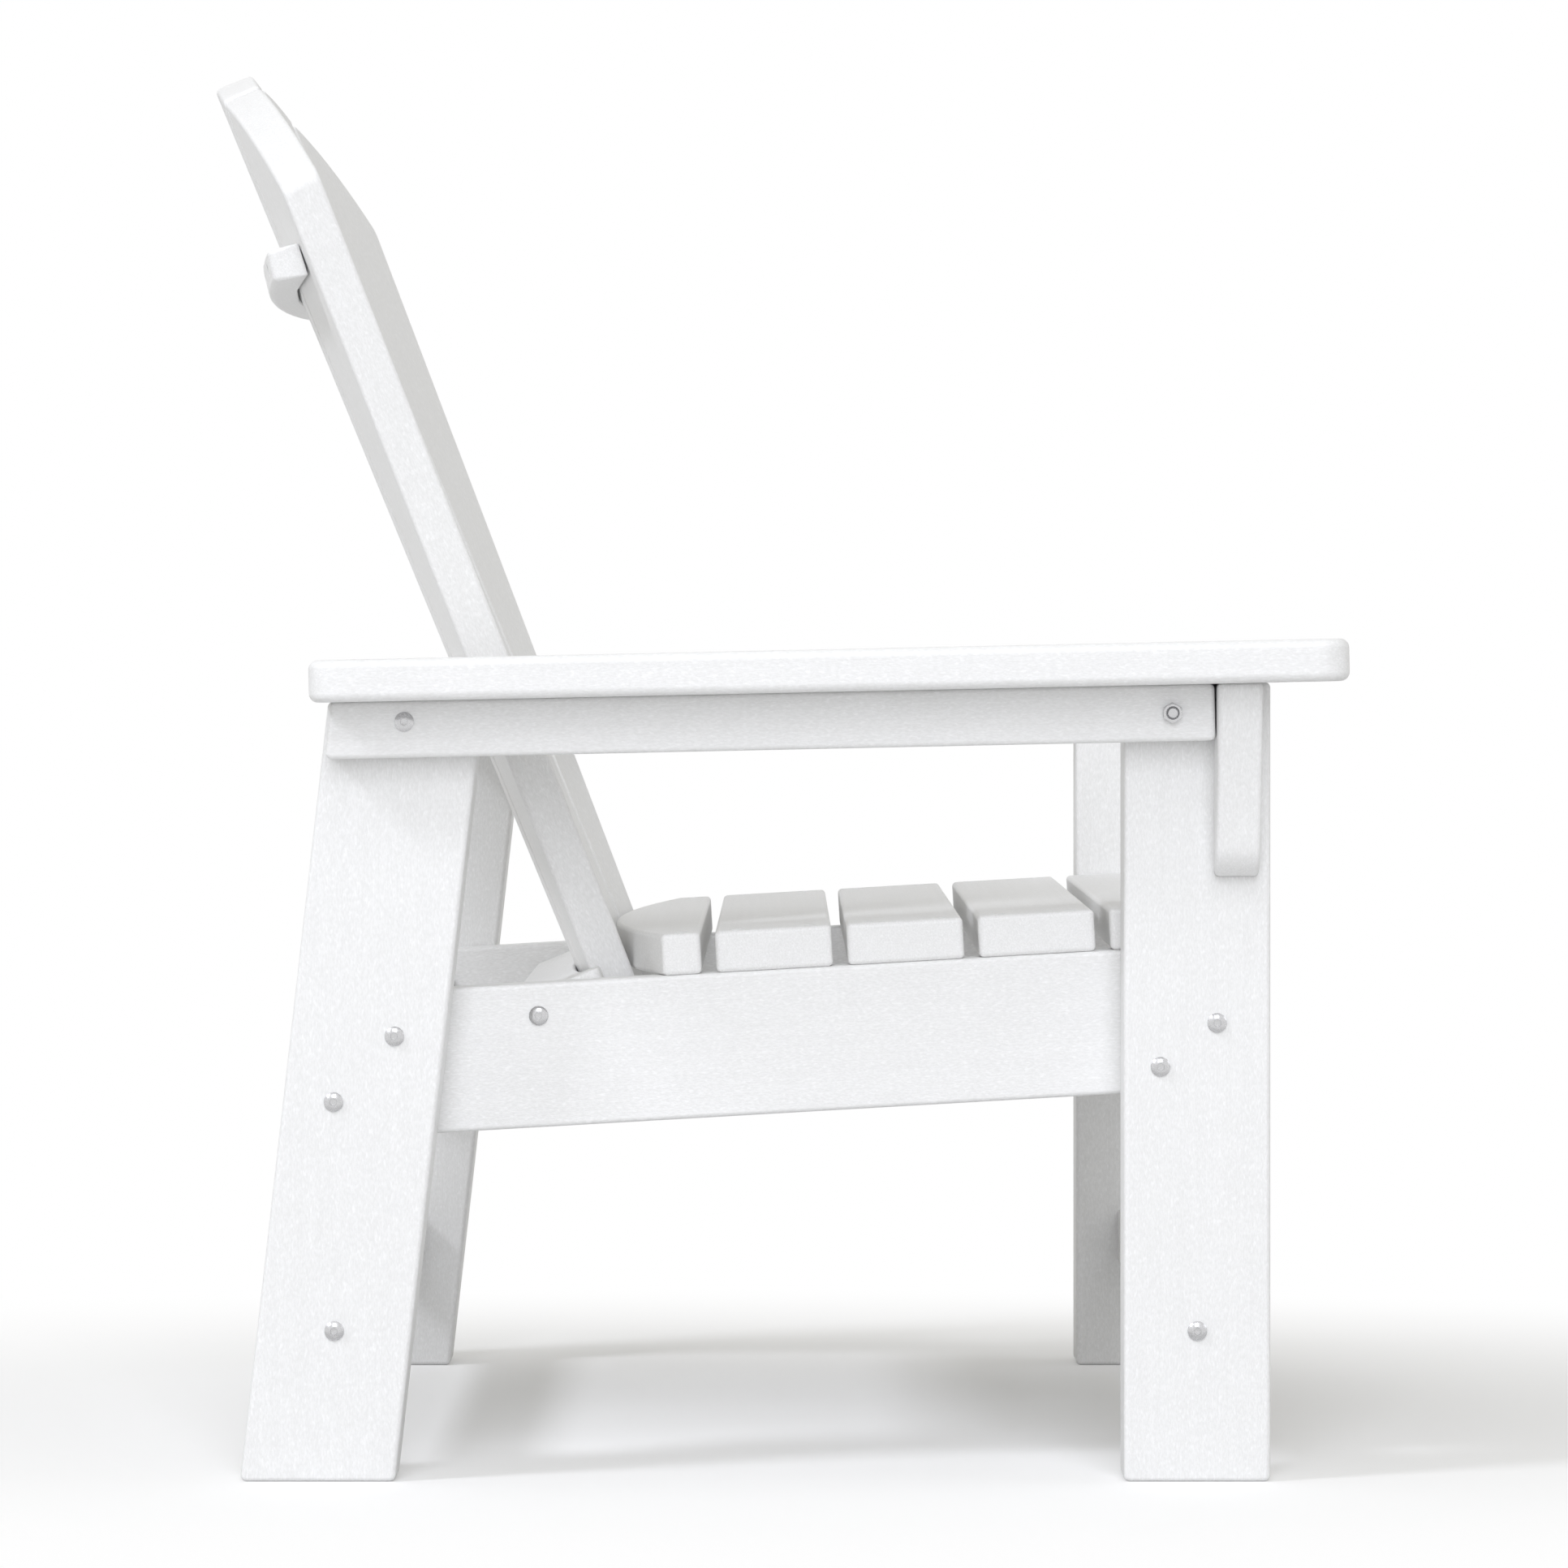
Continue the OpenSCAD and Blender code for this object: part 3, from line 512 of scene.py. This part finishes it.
def back_slat(x0, turn_x, foot_w, flare):
    """A slat from its foot to the arch. Its inner edge stands at x0 on the curve, turned as
    the curve is at turn_x, and its outer edge leaves the foot's width at the flare. The arch
    is cut square to the whole back, so the cut is worked out at each face."""
    angle = math.degrees(math.asin(turn_x / back_curve_r)) if turn_x else 0.0

    def outline(depth):
        def height(u):
            return back_len - arc(x0 + u * cos(angle) + depth * sin(angle), arch_r)

        u = foot_w
        for _ in range(SOLVE_STEPS):
            u = foot_w + height(u) * tan(flare)
        across = np.linspace(u, 0, SHORT_CURVE_POINTS)
        top = np.stack([across, height(across)], 1)
        return np.concatenate([[(0, 0), (foot_w, 0)], top])

    front, rear = outline(0), outline(board_t)
    outer_corner_r = arch_corner_r if flare else corner_r
    radii = corner_radii(front, (corner_r, [0, 1, -1]), (outer_corner_r, [2]))
    surface = slab([front, rear], radii, board_t, edge_r)
    y0 = -arc(x0, back_curve_r) if turn_x else 0.0
    place = (back_plane @ shift(x0, y0, 0) @ turn(2, -angle) @ shift(0, board_t / 2, 0)
             @ axes("x", "z", "y"))
    return surface, place


def back():
    board("centre_back_slat", *back_slat(-back_slat_w / 2, 0, back_slat_w, 0), "v")
    pair("inner_back_slat", *back_slat(slat_inner_x, slat_inner_x + back_slat_w / 2,
                                       back_slat_w, 0), "v")
    pair("outer_back_slat", *back_slat(slat_outer_x, slat_outer_x + outer_foot_w,
                                       outer_foot_w, outer_flare), "v")


inner_screws_x = [slat_inner_x + 0.25 * back_slat_w, slat_inner_x + 0.75 * back_slat_w]
near_screws_x = [-back_slat_w / 4, back_slat_w / 4] + inner_screws_x + [-x for x in inner_screws_x]


def outer_screws_x(up):
    far = min(upper_brace_half - brace_screw_end,
              slat_outer_x + outer_foot_w + up * tan(outer_flare) - brace_screw_in)
    near = slat_outer_x + slat_screw_in
    return [near, far, -near, -far]


def slats_rear(x):
    """How far behind the centre slat's front face the slats' flat rear faces lie: the least
    of the five planes, each turned to the curve where its slat stands."""
    depth = np.full(len(x), board_t)
    for start, turn_x in ((slat_inner_x, slat_inner_x + back_slat_w / 2),
                          (slat_outer_x, slat_outer_x + outer_foot_w)):
        angle = math.degrees(math.asin(turn_x / back_curve_r))
        plane = board_t / cos(angle) - arc(start, back_curve_r) - (np.abs(x) - start) * tan(angle)
        depth = np.minimum(depth, plane)
    return depth


def rear_edge(half, screws_x, curve):
    """Points along a brace's rear edge, from its left end to its right one, with a short
    straight stretch for each screw."""
    screws_x = np.array(screws_x)
    x = np.sort(np.concatenate([[-half, half], screws_x - screw_seat_half,
                                screws_x + screw_seat_half]))[::-1]
    return np.stack([x, curve(x)], 1)


def braces():
    # Lower: two ears beside a notch that curves as the slats' feet do
    front, rear = brace_waist - brace_w + brace_gap, brace_waist + brace_gap
    notch_y = back_slat_w * back_slat_w / 8 / lower_notch_r + brace_gap
    x = np.linspace(-notch_half, notch_half, NOTCH_POINTS)
    notch = np.stack([x, notch_y - arc(x, lower_notch_r)], 1)
    edge = rear_edge(rail_in, near_screws_x, lambda x: np.full(len(x), rear))
    outline = np.concatenate([[(-rail_in, front), (-notch_half, front)], notch,
                              [(notch_half, front), (rail_in, front)], edge])
    n = NOTCH_POINTS
    radii = corner_radii(outline, (ear_r, [0, n + 3, n + 4, -1]),
                         (corner_r, [1, 2, n + 1, n + 2]))
    surface = slab(outline, radii, board_t, ear_edge_r,
                   bottom_holes=barrel_holes(barrel_in - rail_in, rear - brace_bolt_in, board_t),
                   wall_holes=screw_holes([(x, rear) for x in near_screws_x]))
    board("lower_back_brace", surface, brace_plane(lower_brace_up, recline))

    # Middle: the notch leans with the back, so it is worked out at both faces
    rear, front = -middle_rear, -middle_rear - brace_w
    middle_up = (arm_z - back_foot_z) / cos(recline)
    screws_x = near_screws_x + outer_screws_x(middle_up)
    edge = rear_edge(half_in, screws_x, lambda x: np.full(len(x), rear))
    radius = rear_face_r + brace_gap
    to_arm = np.linalg.inv(arm_plane) @ back_plane

    def notch_at(w):
        """The notch at a height w above the brace's middle, where a level plane cuts the
        cylinder that holds the slats. It ends at its full width or at the brace's front."""
        part, half = np.linspace(-1, 1, CURVE_POINTS), notch_half
        for _ in range(SOLVE_STEPS):
            y = radius - back_curve_r - arc(part * half, radius)
            up = (w - board_t / 2 - to_arm[2, 3] - to_arm[2, 1] * y) / to_arm[2, 2]
            depth = to_arm[1, 1] * y + to_arm[1, 2] * up + to_arm[1, 3]
            half = min(half, half - (front - depth[0]) * radius / half * SOLVE_PACE)
        return np.stack([part * half, depth], 1)

    outlines = [np.concatenate([[(-half_in, front)], notch_at(w), [(half_in, front)], edge])
                for w in (-board_t / 2, board_t / 2)]
    n = CURVE_POINTS
    radii = corner_radii(outlines[0], (corner_r, [0, 1, n, n + 1, n + 2, -1]))
    surface = slab(outlines, radii, board_t, edge_r,
                   bottom_holes=barrel_holes(barrel_in - half_in, -middle_bolt_fore, board_t),
                   wall_holes=screw_holes([(x, rear) for x in screws_x]))
    board("middle_back_brace", surface, arm_plane @ shift(0, 0, -board_t / 2))

    # Upper: a crescent whose front edge follows the slats' flat rear faces, and parts from
    # them a little towards its underside. Its ends are cut as the back's edges flare.
    slats_lean = recline - upper_brace_slope
    front_lean = 0.5 * slats_lean
    screws_x = near_screws_x + outer_screws_x(upper_brace_up)

    def rear_curve(x):
        return upper_brace_waist - arc(x, upper_brace_rear_r)

    def outline_at(w):
        half = upper_brace_half + w * tan(outer_flare)
        x = np.linspace(-half, half, CURVE_POINTS)
        parting = (upper_brace_t / 2 - w) * (tan(slats_lean) - tan(front_lean))
        y = ((slats_rear(x) - board_t) / cos(slats_lean) + w * tan(slats_lean) + parting
             + brace_gap)
        return np.concatenate([np.stack([x, y], 1), rear_edge(half, screws_x, rear_curve)])

    outlines = [outline_at(-upper_brace_t / 2), outline_at(upper_brace_t / 2)]
    radii = corner_radii(outlines[0], (crescent_front_r, [0, n - 1]),
                         (crescent_rear_r, [n, -1]))
    rounding = np.full(len(radii), crescent_front_edge_r)
    rounding[n:] = crescent_rear_edge_r
    screws = screw_holes([(x, float(rear_curve(np.array(x)))) for x in screws_x])
    surface = slab(outlines, radii, upper_brace_t, rounding, wall_holes=screws)
    board("upper_back_brace", surface, brace_plane(upper_brace_up, upper_brace_slope))


def arms():
    def rear(z):
        """Where the rail's rear end, cut along the lean of the leg, is at a height z."""
        lean = tan(rear_leg_lean)
        return ((-arm_rail_rear - z * (sin(arm_slope) + lean * cos(arm_slope)))
                / (cos(arm_slope) - lean * sin(arm_slope)))

    outline = [(-arm_rail_front, -arm_rail_h), (rear(-arm_rail_h), -arm_rail_h),
               (rear(0), 0), (-arm_rail_front, 0)]
    place = arm_plane @ shift(half_out + board_t / 2, 0, 0) @ axes("y", "z", "x")
    pair("arm_rail", slab(outline, [corner_r] * 4, board_t, edge_r), place)

    screws_fore = [arm_rail_rear + arm_screw_in, (arm_rail_rear + arm_rail_front) / 2,
                   arm_rail_front - arm_screw_in]
    inner = half_in - arm_inset
    holes = screw_holes([(half_out + board_t / 2, -fore) for fore in screws_fore])
    outline = rectangle(inner, inner + arm_w, -arm_mid - arm_len / 2, -arm_mid + arm_len / 2)
    surface = slab(outline, [arm_corner_r] * 4, board_t, arm_edge_r, top_holes=holes)
    pair("armrest", surface, arm_plane @ shift(0, 0, board_t / 2), "v")

    foot_z = arm_z - bracket_h + front_leg_fore * tan(arm_slope)
    fore = leg_front - bracket_inset - bracket_t / 2
    a = np.radians(np.linspace(-90, 0, FOOT_POINTS))
    foot = bracket_foot_r * np.stack([np.cos(a), 1 + np.sin(a)], 1)

    def outline_at(w):
        top = arm_z + (fore - w) * tan(arm_slope) - foot_z
        return np.concatenate([foot, [(bracket_out, top), (0, top)]])

    outlines = [outline_at(-bracket_t / 2), outline_at(bracket_t / 2)]
    radii = corner_radii(outlines[0], (corner_r, [0, -2, -1]))
    surface = slab(outlines, radii, bracket_t, edge_r)
    pair("arm_bracket", surface, at(fore, foot_z, half_out) @ axes("x", "z", "y"), "v")


# ---- Bolts and nuts ----

barrel_bolt = barrel_in + bolt_past_barrel
TURNED_SIDES = 48
DOME_ROWS = 8
SHARP_DEGREES = 28   # between faces that meet in a crisp edge
around = np.linspace(0, 2 * np.pi, TURNED_SIDES, endpoint=False)
hexagon = 1 / np.cos(around % (np.pi / 3) - np.pi / 6)


def turned(rows, closed=False):
    """Points and faces of a turned part: a grid of rows, each a radius and a height that may
    change with the angle. A hexagon's radius is half its width across the flats over the
    cosine of the angle from the middle of a flat."""
    radius = np.stack([np.broadcast_to(row[0], around.shape) for row in rows])
    height = np.stack([np.broadcast_to(row[1], around.shape) for row in rows])
    points = np.stack([radius * np.cos(around), radius * np.sin(around), height], 2)
    m, n = radius.shape
    row, i = np.meshgrid(np.arange(m if closed else m - 1), np.arange(n), indexing="ij")
    a, b = row * n + i, row * n + (i + 1) % n
    quads = np.stack([a, b, (b + n) % (m * n), (a + n) % (m * n)], 2).reshape(-1, 4)
    ends = [] if closed else [np.stack([np.arange(n)[::-1], np.arange((m - 1) * n, m * n)])]
    return points.reshape(-1, 3), [quads] + ends


def button_bolt(length):
    """A shank with fine ridges near its end, under a domed head with a hexagon socket. The
    dome is a ball whose radius is (head squared + height squared) over twice the height."""
    shank, head, socket = bolt_d / 2, bolt_head_d / 2, socket_af / 2
    dome_h = dome_share * bolt_head_h
    dome_r = (head * head + dome_h * dome_h) / 2 / dome_h
    tip = -length
    rows = [(bolt_tip_r, tip), (shank - bolt_chamfer, tip), (shank, bolt_chamfer + tip)]
    for z in np.arange(2 * bolt_chamfer, threaded, thread_pitch):
        rows += [(shank, z + tip), (shank, z + 0.25 * thread_pitch + tip),
                 (shank - thread_depth, z + 0.6 * thread_pitch + tip)]
    rows += [(shank, threaded + 0.5 * thread_pitch + tip), (shank, 0), (head - head_seat_rim, 0),
             (head, bolt_chamfer), (head, bolt_head_h - dome_h)]
    r = np.linspace(head - head_side_rim, socket + socket_land, DOME_ROWS)
    dome_z = bolt_head_h - dome_r + np.sqrt(dome_r * dome_r - r * r)
    rows += list(zip(r, dome_z))
    top, bottom = dome_z[-1], bolt_head_h - socket_depth
    rows += [(socket * hexagon + socket_mouth, top + socket_lip_h),
             (socket * hexagon, top - socket_lip_depth), (socket * hexagon, bottom),
             (socket_tip_r, bottom - socket_tip_depth)]
    return turned(rows)


def hex_nut():
    """A hexagon whose corners are turned down to its flats at both faces, and a bore."""
    flat, bore = nut_af / 2, bolt_d / 2 + thread_gap
    outer = flat * hexagon
    fall = (outer - flat) * tan(30)
    mouth, face, rim = bore + nut_countersink, flat - nut_rim, nut_rim / 2
    rows = [(mouth, 0), (face, 0), (outer, rim + fall), (outer, nut_h - rim - fall),
            (face, nut_h), (mouth, nut_h), (bore, nut_h - nut_far_countersink),
            (bore, nut_countersink)]
    return turned(rows, closed=True)


def hardware(node, parts):
    """One mesh of the bolts or nuts of a node, each a shape and its place on the left, and
    again on the right."""
    points, faces, count = [], [], 0
    for (local, patches), place in parts:
        left = local @ place[:3, :3].T + place[:3, 3]
        for side in (1, -1):
            points.append(left * [side, 1, 1])
            faces += [face for patch in patches for face in (patch[:, ::side] + count).tolist()]
            count += len(left)
    points = np.concatenate(points)
    mesh = bpy.data.meshes.new(node + "_turned")
    mesh.from_pydata(points / 1000, [], faces)
    mesh.polygons.foreach_set("use_smooth", np.ones(len(mesh.polygons), bool))
    mesh.set_sharp_from_angle(angle=math.radians(SHARP_DEGREES))
    make_piece(node, "turned", "steel", mesh, points, turned_most_off)


def bolts():
    # A bolt points in from the left: its own z lies along x
    inwards = axes("z", "y", "x")
    inwards[2, 0] = -1
    outwards = axes("z", "y", "x")
    outwards[0, 2] = -1

    rear_z = seat_z - rail_h / 2 + rear_leg_fore(seat_z) * tan(seat_slope)
    front_z = seat_z - rail_h / 2 + front_leg_fore * tan(seat_slope) - front_bolt_drop
    rail_bolts = [at(fore, z, half_out) @ inwards for fore, z in (
        (rear_leg_fore(rear_z) + rear_bolt_side, rear_z + rear_bolt_rise),
        (rear_leg_fore(rear_z) - rear_bolt_side, rear_z - rear_bolt_rise),
        (front_leg_fore + front_bolt_ahead, front_z + front_bolt_rise),
        (front_leg_fore - front_bolt_behind, front_z - front_bolt_rise))]
    through = leg_t + board_t
    length = through + nut_h + bolt_past_nut
    to_nut = shift(0, 0, -through - nut_h)
    hardware("seat_rail_bolts", [(button_bolt(length), place) for place in rail_bolts])
    hardware("seat_rail_nuts", [(hex_nut(), place @ to_nut) for place in rail_bolts])

    hardware("stretcher_bolts", [
        (button_bolt(leg_t + barrel_bolt), at(fore, stretcher_z, half_out) @ inwards)
        for fore in (front_leg_fore, rear_leg_fore(stretcher_z))])

    lower = (brace_plane(lower_brace_up, recline)
             @ shift(half_in, brace_waist + brace_gap - brace_bolt_in, 0) @ inwards)
    middle = arm_plane @ shift(half_out + board_t, -middle_bolt_fore, -board_t / 2) @ inwards
    hardware("brace_bolts", [(button_bolt(board_t + barrel_bolt), lower),
                             (button_bolt(through + barrel_bolt), middle)])

    fore = (leg_front - front_leg_w + arm_rail_front + bracket_gap) / 2
    arm = arm_plane @ shift(half_in, -fore, -arm_rail_h / 2) @ outwards
    hardware("arm_rail_bolts", [(button_bolt(length), arm)])
    hardware("arm_rail_nuts", [(hex_nut(), arm @ to_nut)])


legs()
stretchers()
seat()
back()
braces()
arms()
bolts()


# ---- Materials ----

def wire(tree, source, target):
    tree.links.new(source, target)


def math_node(tree, operation, a, b):
    """The outcome of an operation on two values, each a number or a socket."""
    node = tree.nodes.new("ShaderNodeMath")
    node.operation = operation
    for socket, value in zip(node.inputs, (a, b)):
        if isinstance(value, (int, float)):
            socket.default_value = value
        else:
            wire(tree, value, socket)
    return node.outputs[0]


def shares(tree, *parts, base=None, clamp=False):
    """The sum of each (value, share) pair's product, on top of a base."""
    total = base
    for value, share in parts:
        part = math_node(tree, "MULTIPLY", value, share)
        total = part if total is None else math_node(tree, "ADD", total, part)
    total.node.use_clamp = clamp
    return total


def mixed(tree, factor, first, second):
    """From the first colour at 0 to the second at 1, each a socket or three numbers."""
    node = tree.nodes.new("ShaderNodeMix")
    node.data_type = "RGBA"
    wire(tree, factor, node.inputs["Factor"])
    for number, colour in ((6, first), (7, second)):
        if isinstance(colour, tuple):
            node.inputs[number].default_value = (*colour, 1)
        else:
            wire(tree, colour, node.inputs[number])
    return node.outputs[2]


def noise(tree, vector, stretch, detail, rough):
    """Noise with so many features to the metre along, across and into the board."""
    scaled = tree.nodes.new("ShaderNodeMapping")
    scaled.inputs["Scale"].default_value = stretch
    wire(tree, vector, scaled.inputs["Vector"])
    node = tree.nodes.new("ShaderNodeTexNoise")
    node.inputs["Scale"].default_value = 1.0
    node.inputs["Detail"].default_value = detail
    node.inputs["Roughness"].default_value = rough
    wire(tree, scaled.outputs[0], node.inputs["Vector"])
    return node.outputs["Fac"]


def spread(tree, value, low, high):
    """0 at low, 1 at high, smooth between."""
    node = tree.nodes.new("ShaderNodeMapRange")
    node.interpolation_type = "SMOOTHSTEP"
    node.inputs["From Min"].default_value = low
    node.inputs["From Max"].default_value = high
    wire(tree, value, node.inputs["Value"])
    return node.outputs["Result"]


def extruded_grain():
    """The drawn surface of foamed plastic lumber: short fibres along the board, bright flecks
    among them, a soft mottle and long faint die lines."""
    group = bpy.data.node_groups.new("extruded_grain", "ShaderNodeTree")
    for name, way, kind in (("Vector", "INPUT", "Vector"), ("Light", "INPUT", "Color"),
                            ("Dark", "INPUT", "Color"), ("Colour", "OUTPUT", "Color"),
                            ("Height", "OUTPUT", "Float"), ("Roughness", "OUTPUT", "Float")):
        group.interface.new_socket(name, in_out=way, socket_type="NodeSocket" + kind)
    inside = group.nodes.new("NodeGroupInput")
    outside = group.nodes.new("NodeGroupOutput")
    vector = inside.outputs["Vector"]

    fibres = spread(group, noise(group, vector, (330, 900, 900), 2.0, 0.65), 0.33, 0.67)
    flecks = spread(group, noise(group, vector, (300, 760, 760), 0.0, 0.5), 0.60, 0.76)
    mottle = spread(group, noise(group, vector, (45, 80, 80), 2.0, 0.5), 0.3, 0.7)
    lines = spread(group, noise(group, vector, (3, 420, 420), 1.0, 0.5), 0.3, 0.7)

    tone = shares(group, (fibres, 0.5), (flecks, 0.4), (mottle, 0.1), (lines, 0.1), clamp=True)
    colour = mixed(group, tone, inside.outputs["Dark"], inside.outputs["Light"])
    wire(group, colour, outside.inputs["Colour"])
    wire(group, shares(group, (fibres, 0.6), (lines, 0.4)), outside.inputs["Height"])
    rough = shares(group, (fibres, 0.12), (mottle, 0.06), base=0.36)
    wire(group, rough, outside.inputs["Roughness"])
    return group


def new_material(name):
    material = bpy.data.materials.new(name)
    material.use_nodes = True
    return material, material.node_tree, material.node_tree.nodes["Principled BSDF"]


def white_lumber(group):
    material, tree, shader = new_material("white_plastic_lumber")
    grain = tree.nodes.new("ShaderNodeAttribute")
    grain.attribute_name = "grain"
    surface = tree.nodes.new("ShaderNodeGroup")
    surface.node_tree = group
    surface.inputs["Light"].default_value = (0.925, 0.925, 0.925, 1)
    surface.inputs["Dark"].default_value = (0.81, 0.81, 0.805, 1)
    wire(tree, grain.outputs["Vector"], surface.inputs["Vector"])
    bump = tree.nodes.new("ShaderNodeBump")
    bump.inputs["Strength"].default_value = 0.35
    bump.inputs["Distance"].default_value = 0.0002
    wire(tree, surface.outputs["Height"], bump.inputs["Height"])
    wire(tree, surface.outputs["Colour"], shader.inputs["Base Color"])
    wire(tree, surface.outputs["Roughness"], shader.inputs["Roughness"])
    wire(tree, bump.outputs["Normal"], shader.inputs["Normal"])
    shader.inputs["IOR"].default_value = 1.5
    return material


def stainless_steel():
    """Turned and tumbled steel: faint fine scratches in the colour and the roughness."""
    material, tree, shader = new_material("stainless_steel")
    place = tree.nodes.new("ShaderNodeTexCoord")
    haze = spread(tree, noise(tree, place.outputs["Object"], (900, 900, 900), 2.0, 0.5), 0.3, 0.7)
    colour = mixed(tree, haze, (0.60, 0.60, 0.61), (0.66, 0.66, 0.67))
    wire(tree, colour, shader.inputs["Base Color"])
    wire(tree, shares(tree, (haze, 0.1), base=0.2), shader.inputs["Roughness"])
    shader.inputs["Metallic"].default_value = 1.0
    return material


lumber = white_lumber(extruded_grain())
steel = stainless_steel()
for piece in made["lumber"]:
    piece.data.materials.append(lumber)
for piece in made["steel"]:
    piece.data.materials.append(steel)
for name in ("barrel_nuts", "seat_slat_screws", "back_slat_screws", "armrest_screws",
             "bracket_screws"):
    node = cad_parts[name]
    node.data.materials.clear()
    node.data.materials.append(steel)


# ---- Camera, light and floor ----

LAMP_DISTANCE = 12.0
LAMP_COLOUR = (0.98, 1.0, 1.07)
AIM = Vector((0, 0, 0.4))
FLOOR_HALF = 12.0
WHITE_TO = ("Is Camera Ray", "Is Glossy Ray", "Is Transmission Ray")


def make_camera():
    data = bpy.data.cameras.new("camera")
    data.sensor_width = 36.0
    data.lens = 127.6
    data.shift_y = -0.0818
    data.clip_end = 60.0
    camera = bpy.data.objects.new("camera", data)
    camera.location = (-3.6615, -0.0171, 0.5004)
    camera.rotation_euler = (math.radians(90), 0, math.radians(-90))
    scene.collection.objects.link(camera)
    scene.camera = camera


def seen(tree, *kinds):
    """1 for a ray of any of these kinds, otherwise 0."""
    path = tree.nodes.new("ShaderNodeLightPath")
    found = path.outputs[kinds[0]]
    for kind in kinds[1:]:
        found = math_node(tree, "MAXIMUM", found, path.outputs[kind])
    return found


def make_world():
    """White to the eye and in reflections, dimmer as a light."""
    world = bpy.data.worlds.new("studio")
    world.use_nodes = True
    tree = world.node_tree
    colour = mixed(tree, seen(tree, *WHITE_TO), (0.410, 0.400, 0.364), (1, 1, 1))
    wire(tree, colour, tree.nodes["Background"].inputs["Color"])
    scene.world = world


def lamp(name, round_from_camera, height, size, power, in_reflections=True):
    """A square lamp aimed at the chair, turned so far to the left of the camera and so high,
    in degrees."""
    data = bpy.data.lights.new(name, "AREA")
    data.shape = "SQUARE"
    data.size = size
    data.energy = power
    data.color = LAMP_COLOUR
    light = bpy.data.objects.new(name, data)
    away = Vector((-cos(height) * cos(round_from_camera), cos(height) * sin(round_from_camera),
                   sin(height)))
    light.visible_glossy = in_reflections
    light.location = AIM + LAMP_DISTANCE * away
    light.rotation_euler = away.to_track_quat("Z", "Y").to_euler()
    scene.collection.objects.link(light)


def make_floor():
    """A pale floor that fades to the white of the background in an oval round the chair. The
    light it throws back onto the chair is that of a darker one."""
    mesh = bpy.data.meshes.new("floor")
    mesh.from_pydata([(x * FLOOR_HALF, y * FLOOR_HALF, 0)
                      for x, y in ((-1, -1), (1, -1), (1, 1), (-1, 1))], [], [(0, 1, 2, 3)])
    floor = bpy.data.objects.new("floor", mesh)
    scene.collection.objects.link(floor)
    material, tree, shader = new_material("pale_floor")
    tree.nodes.remove(shader)
    place = tree.nodes.new("ShaderNodeTexCoord")
    oval = tree.nodes.new("ShaderNodeVectorMath")
    oval.operation = "MULTIPLY"
    oval.inputs[1].default_value = (1.8, 1, 1)
    wire(tree, place.outputs["Object"], oval.inputs[0])
    distance = tree.nodes.new("ShaderNodeVectorMath")
    distance.operation = "LENGTH"
    wire(tree, oval.outputs[0], distance.inputs[0])
    fade = spread(tree, distance.outputs["Value"], 0.25, 1.35)
    plain = tree.nodes.new("ShaderNodeBsdfDiffuse")
    colour = mixed(tree, seen(tree, "Is Camera Ray"), (0.70, 0.70, 0.70), (1.02, 1.02, 1.02))
    wire(tree, colour, plain.inputs["Color"])
    white = tree.nodes.new("ShaderNodeEmission")
    white.inputs["Strength"].default_value = 1.0
    mix = tree.nodes.new("ShaderNodeMixShader")
    wire(tree, math_node(tree, "MULTIPLY", fade, seen(tree, *WHITE_TO)), mix.inputs["Fac"])
    wire(tree, plain.outputs[0], mix.inputs[1])
    wire(tree, white.outputs[0], mix.inputs[2])
    wire(tree, mix.outputs[0], tree.nodes["Material Output"].inputs["Surface"])
    floor.data.materials.append(material)


make_camera()
make_world()
lamp("front_lamp", 0, 18, 7.5, 525, in_reflections=False)
lamp("upper_lamp", 0, 45, 6.0, 300)
lamp("key_lamp", 65, 41, 1.9, 395)
lamp("rear_lamp", 135, 30, 4.5, 35)
lamp("side_lamp", -90, 25, 4.5, 95)
make_floor()
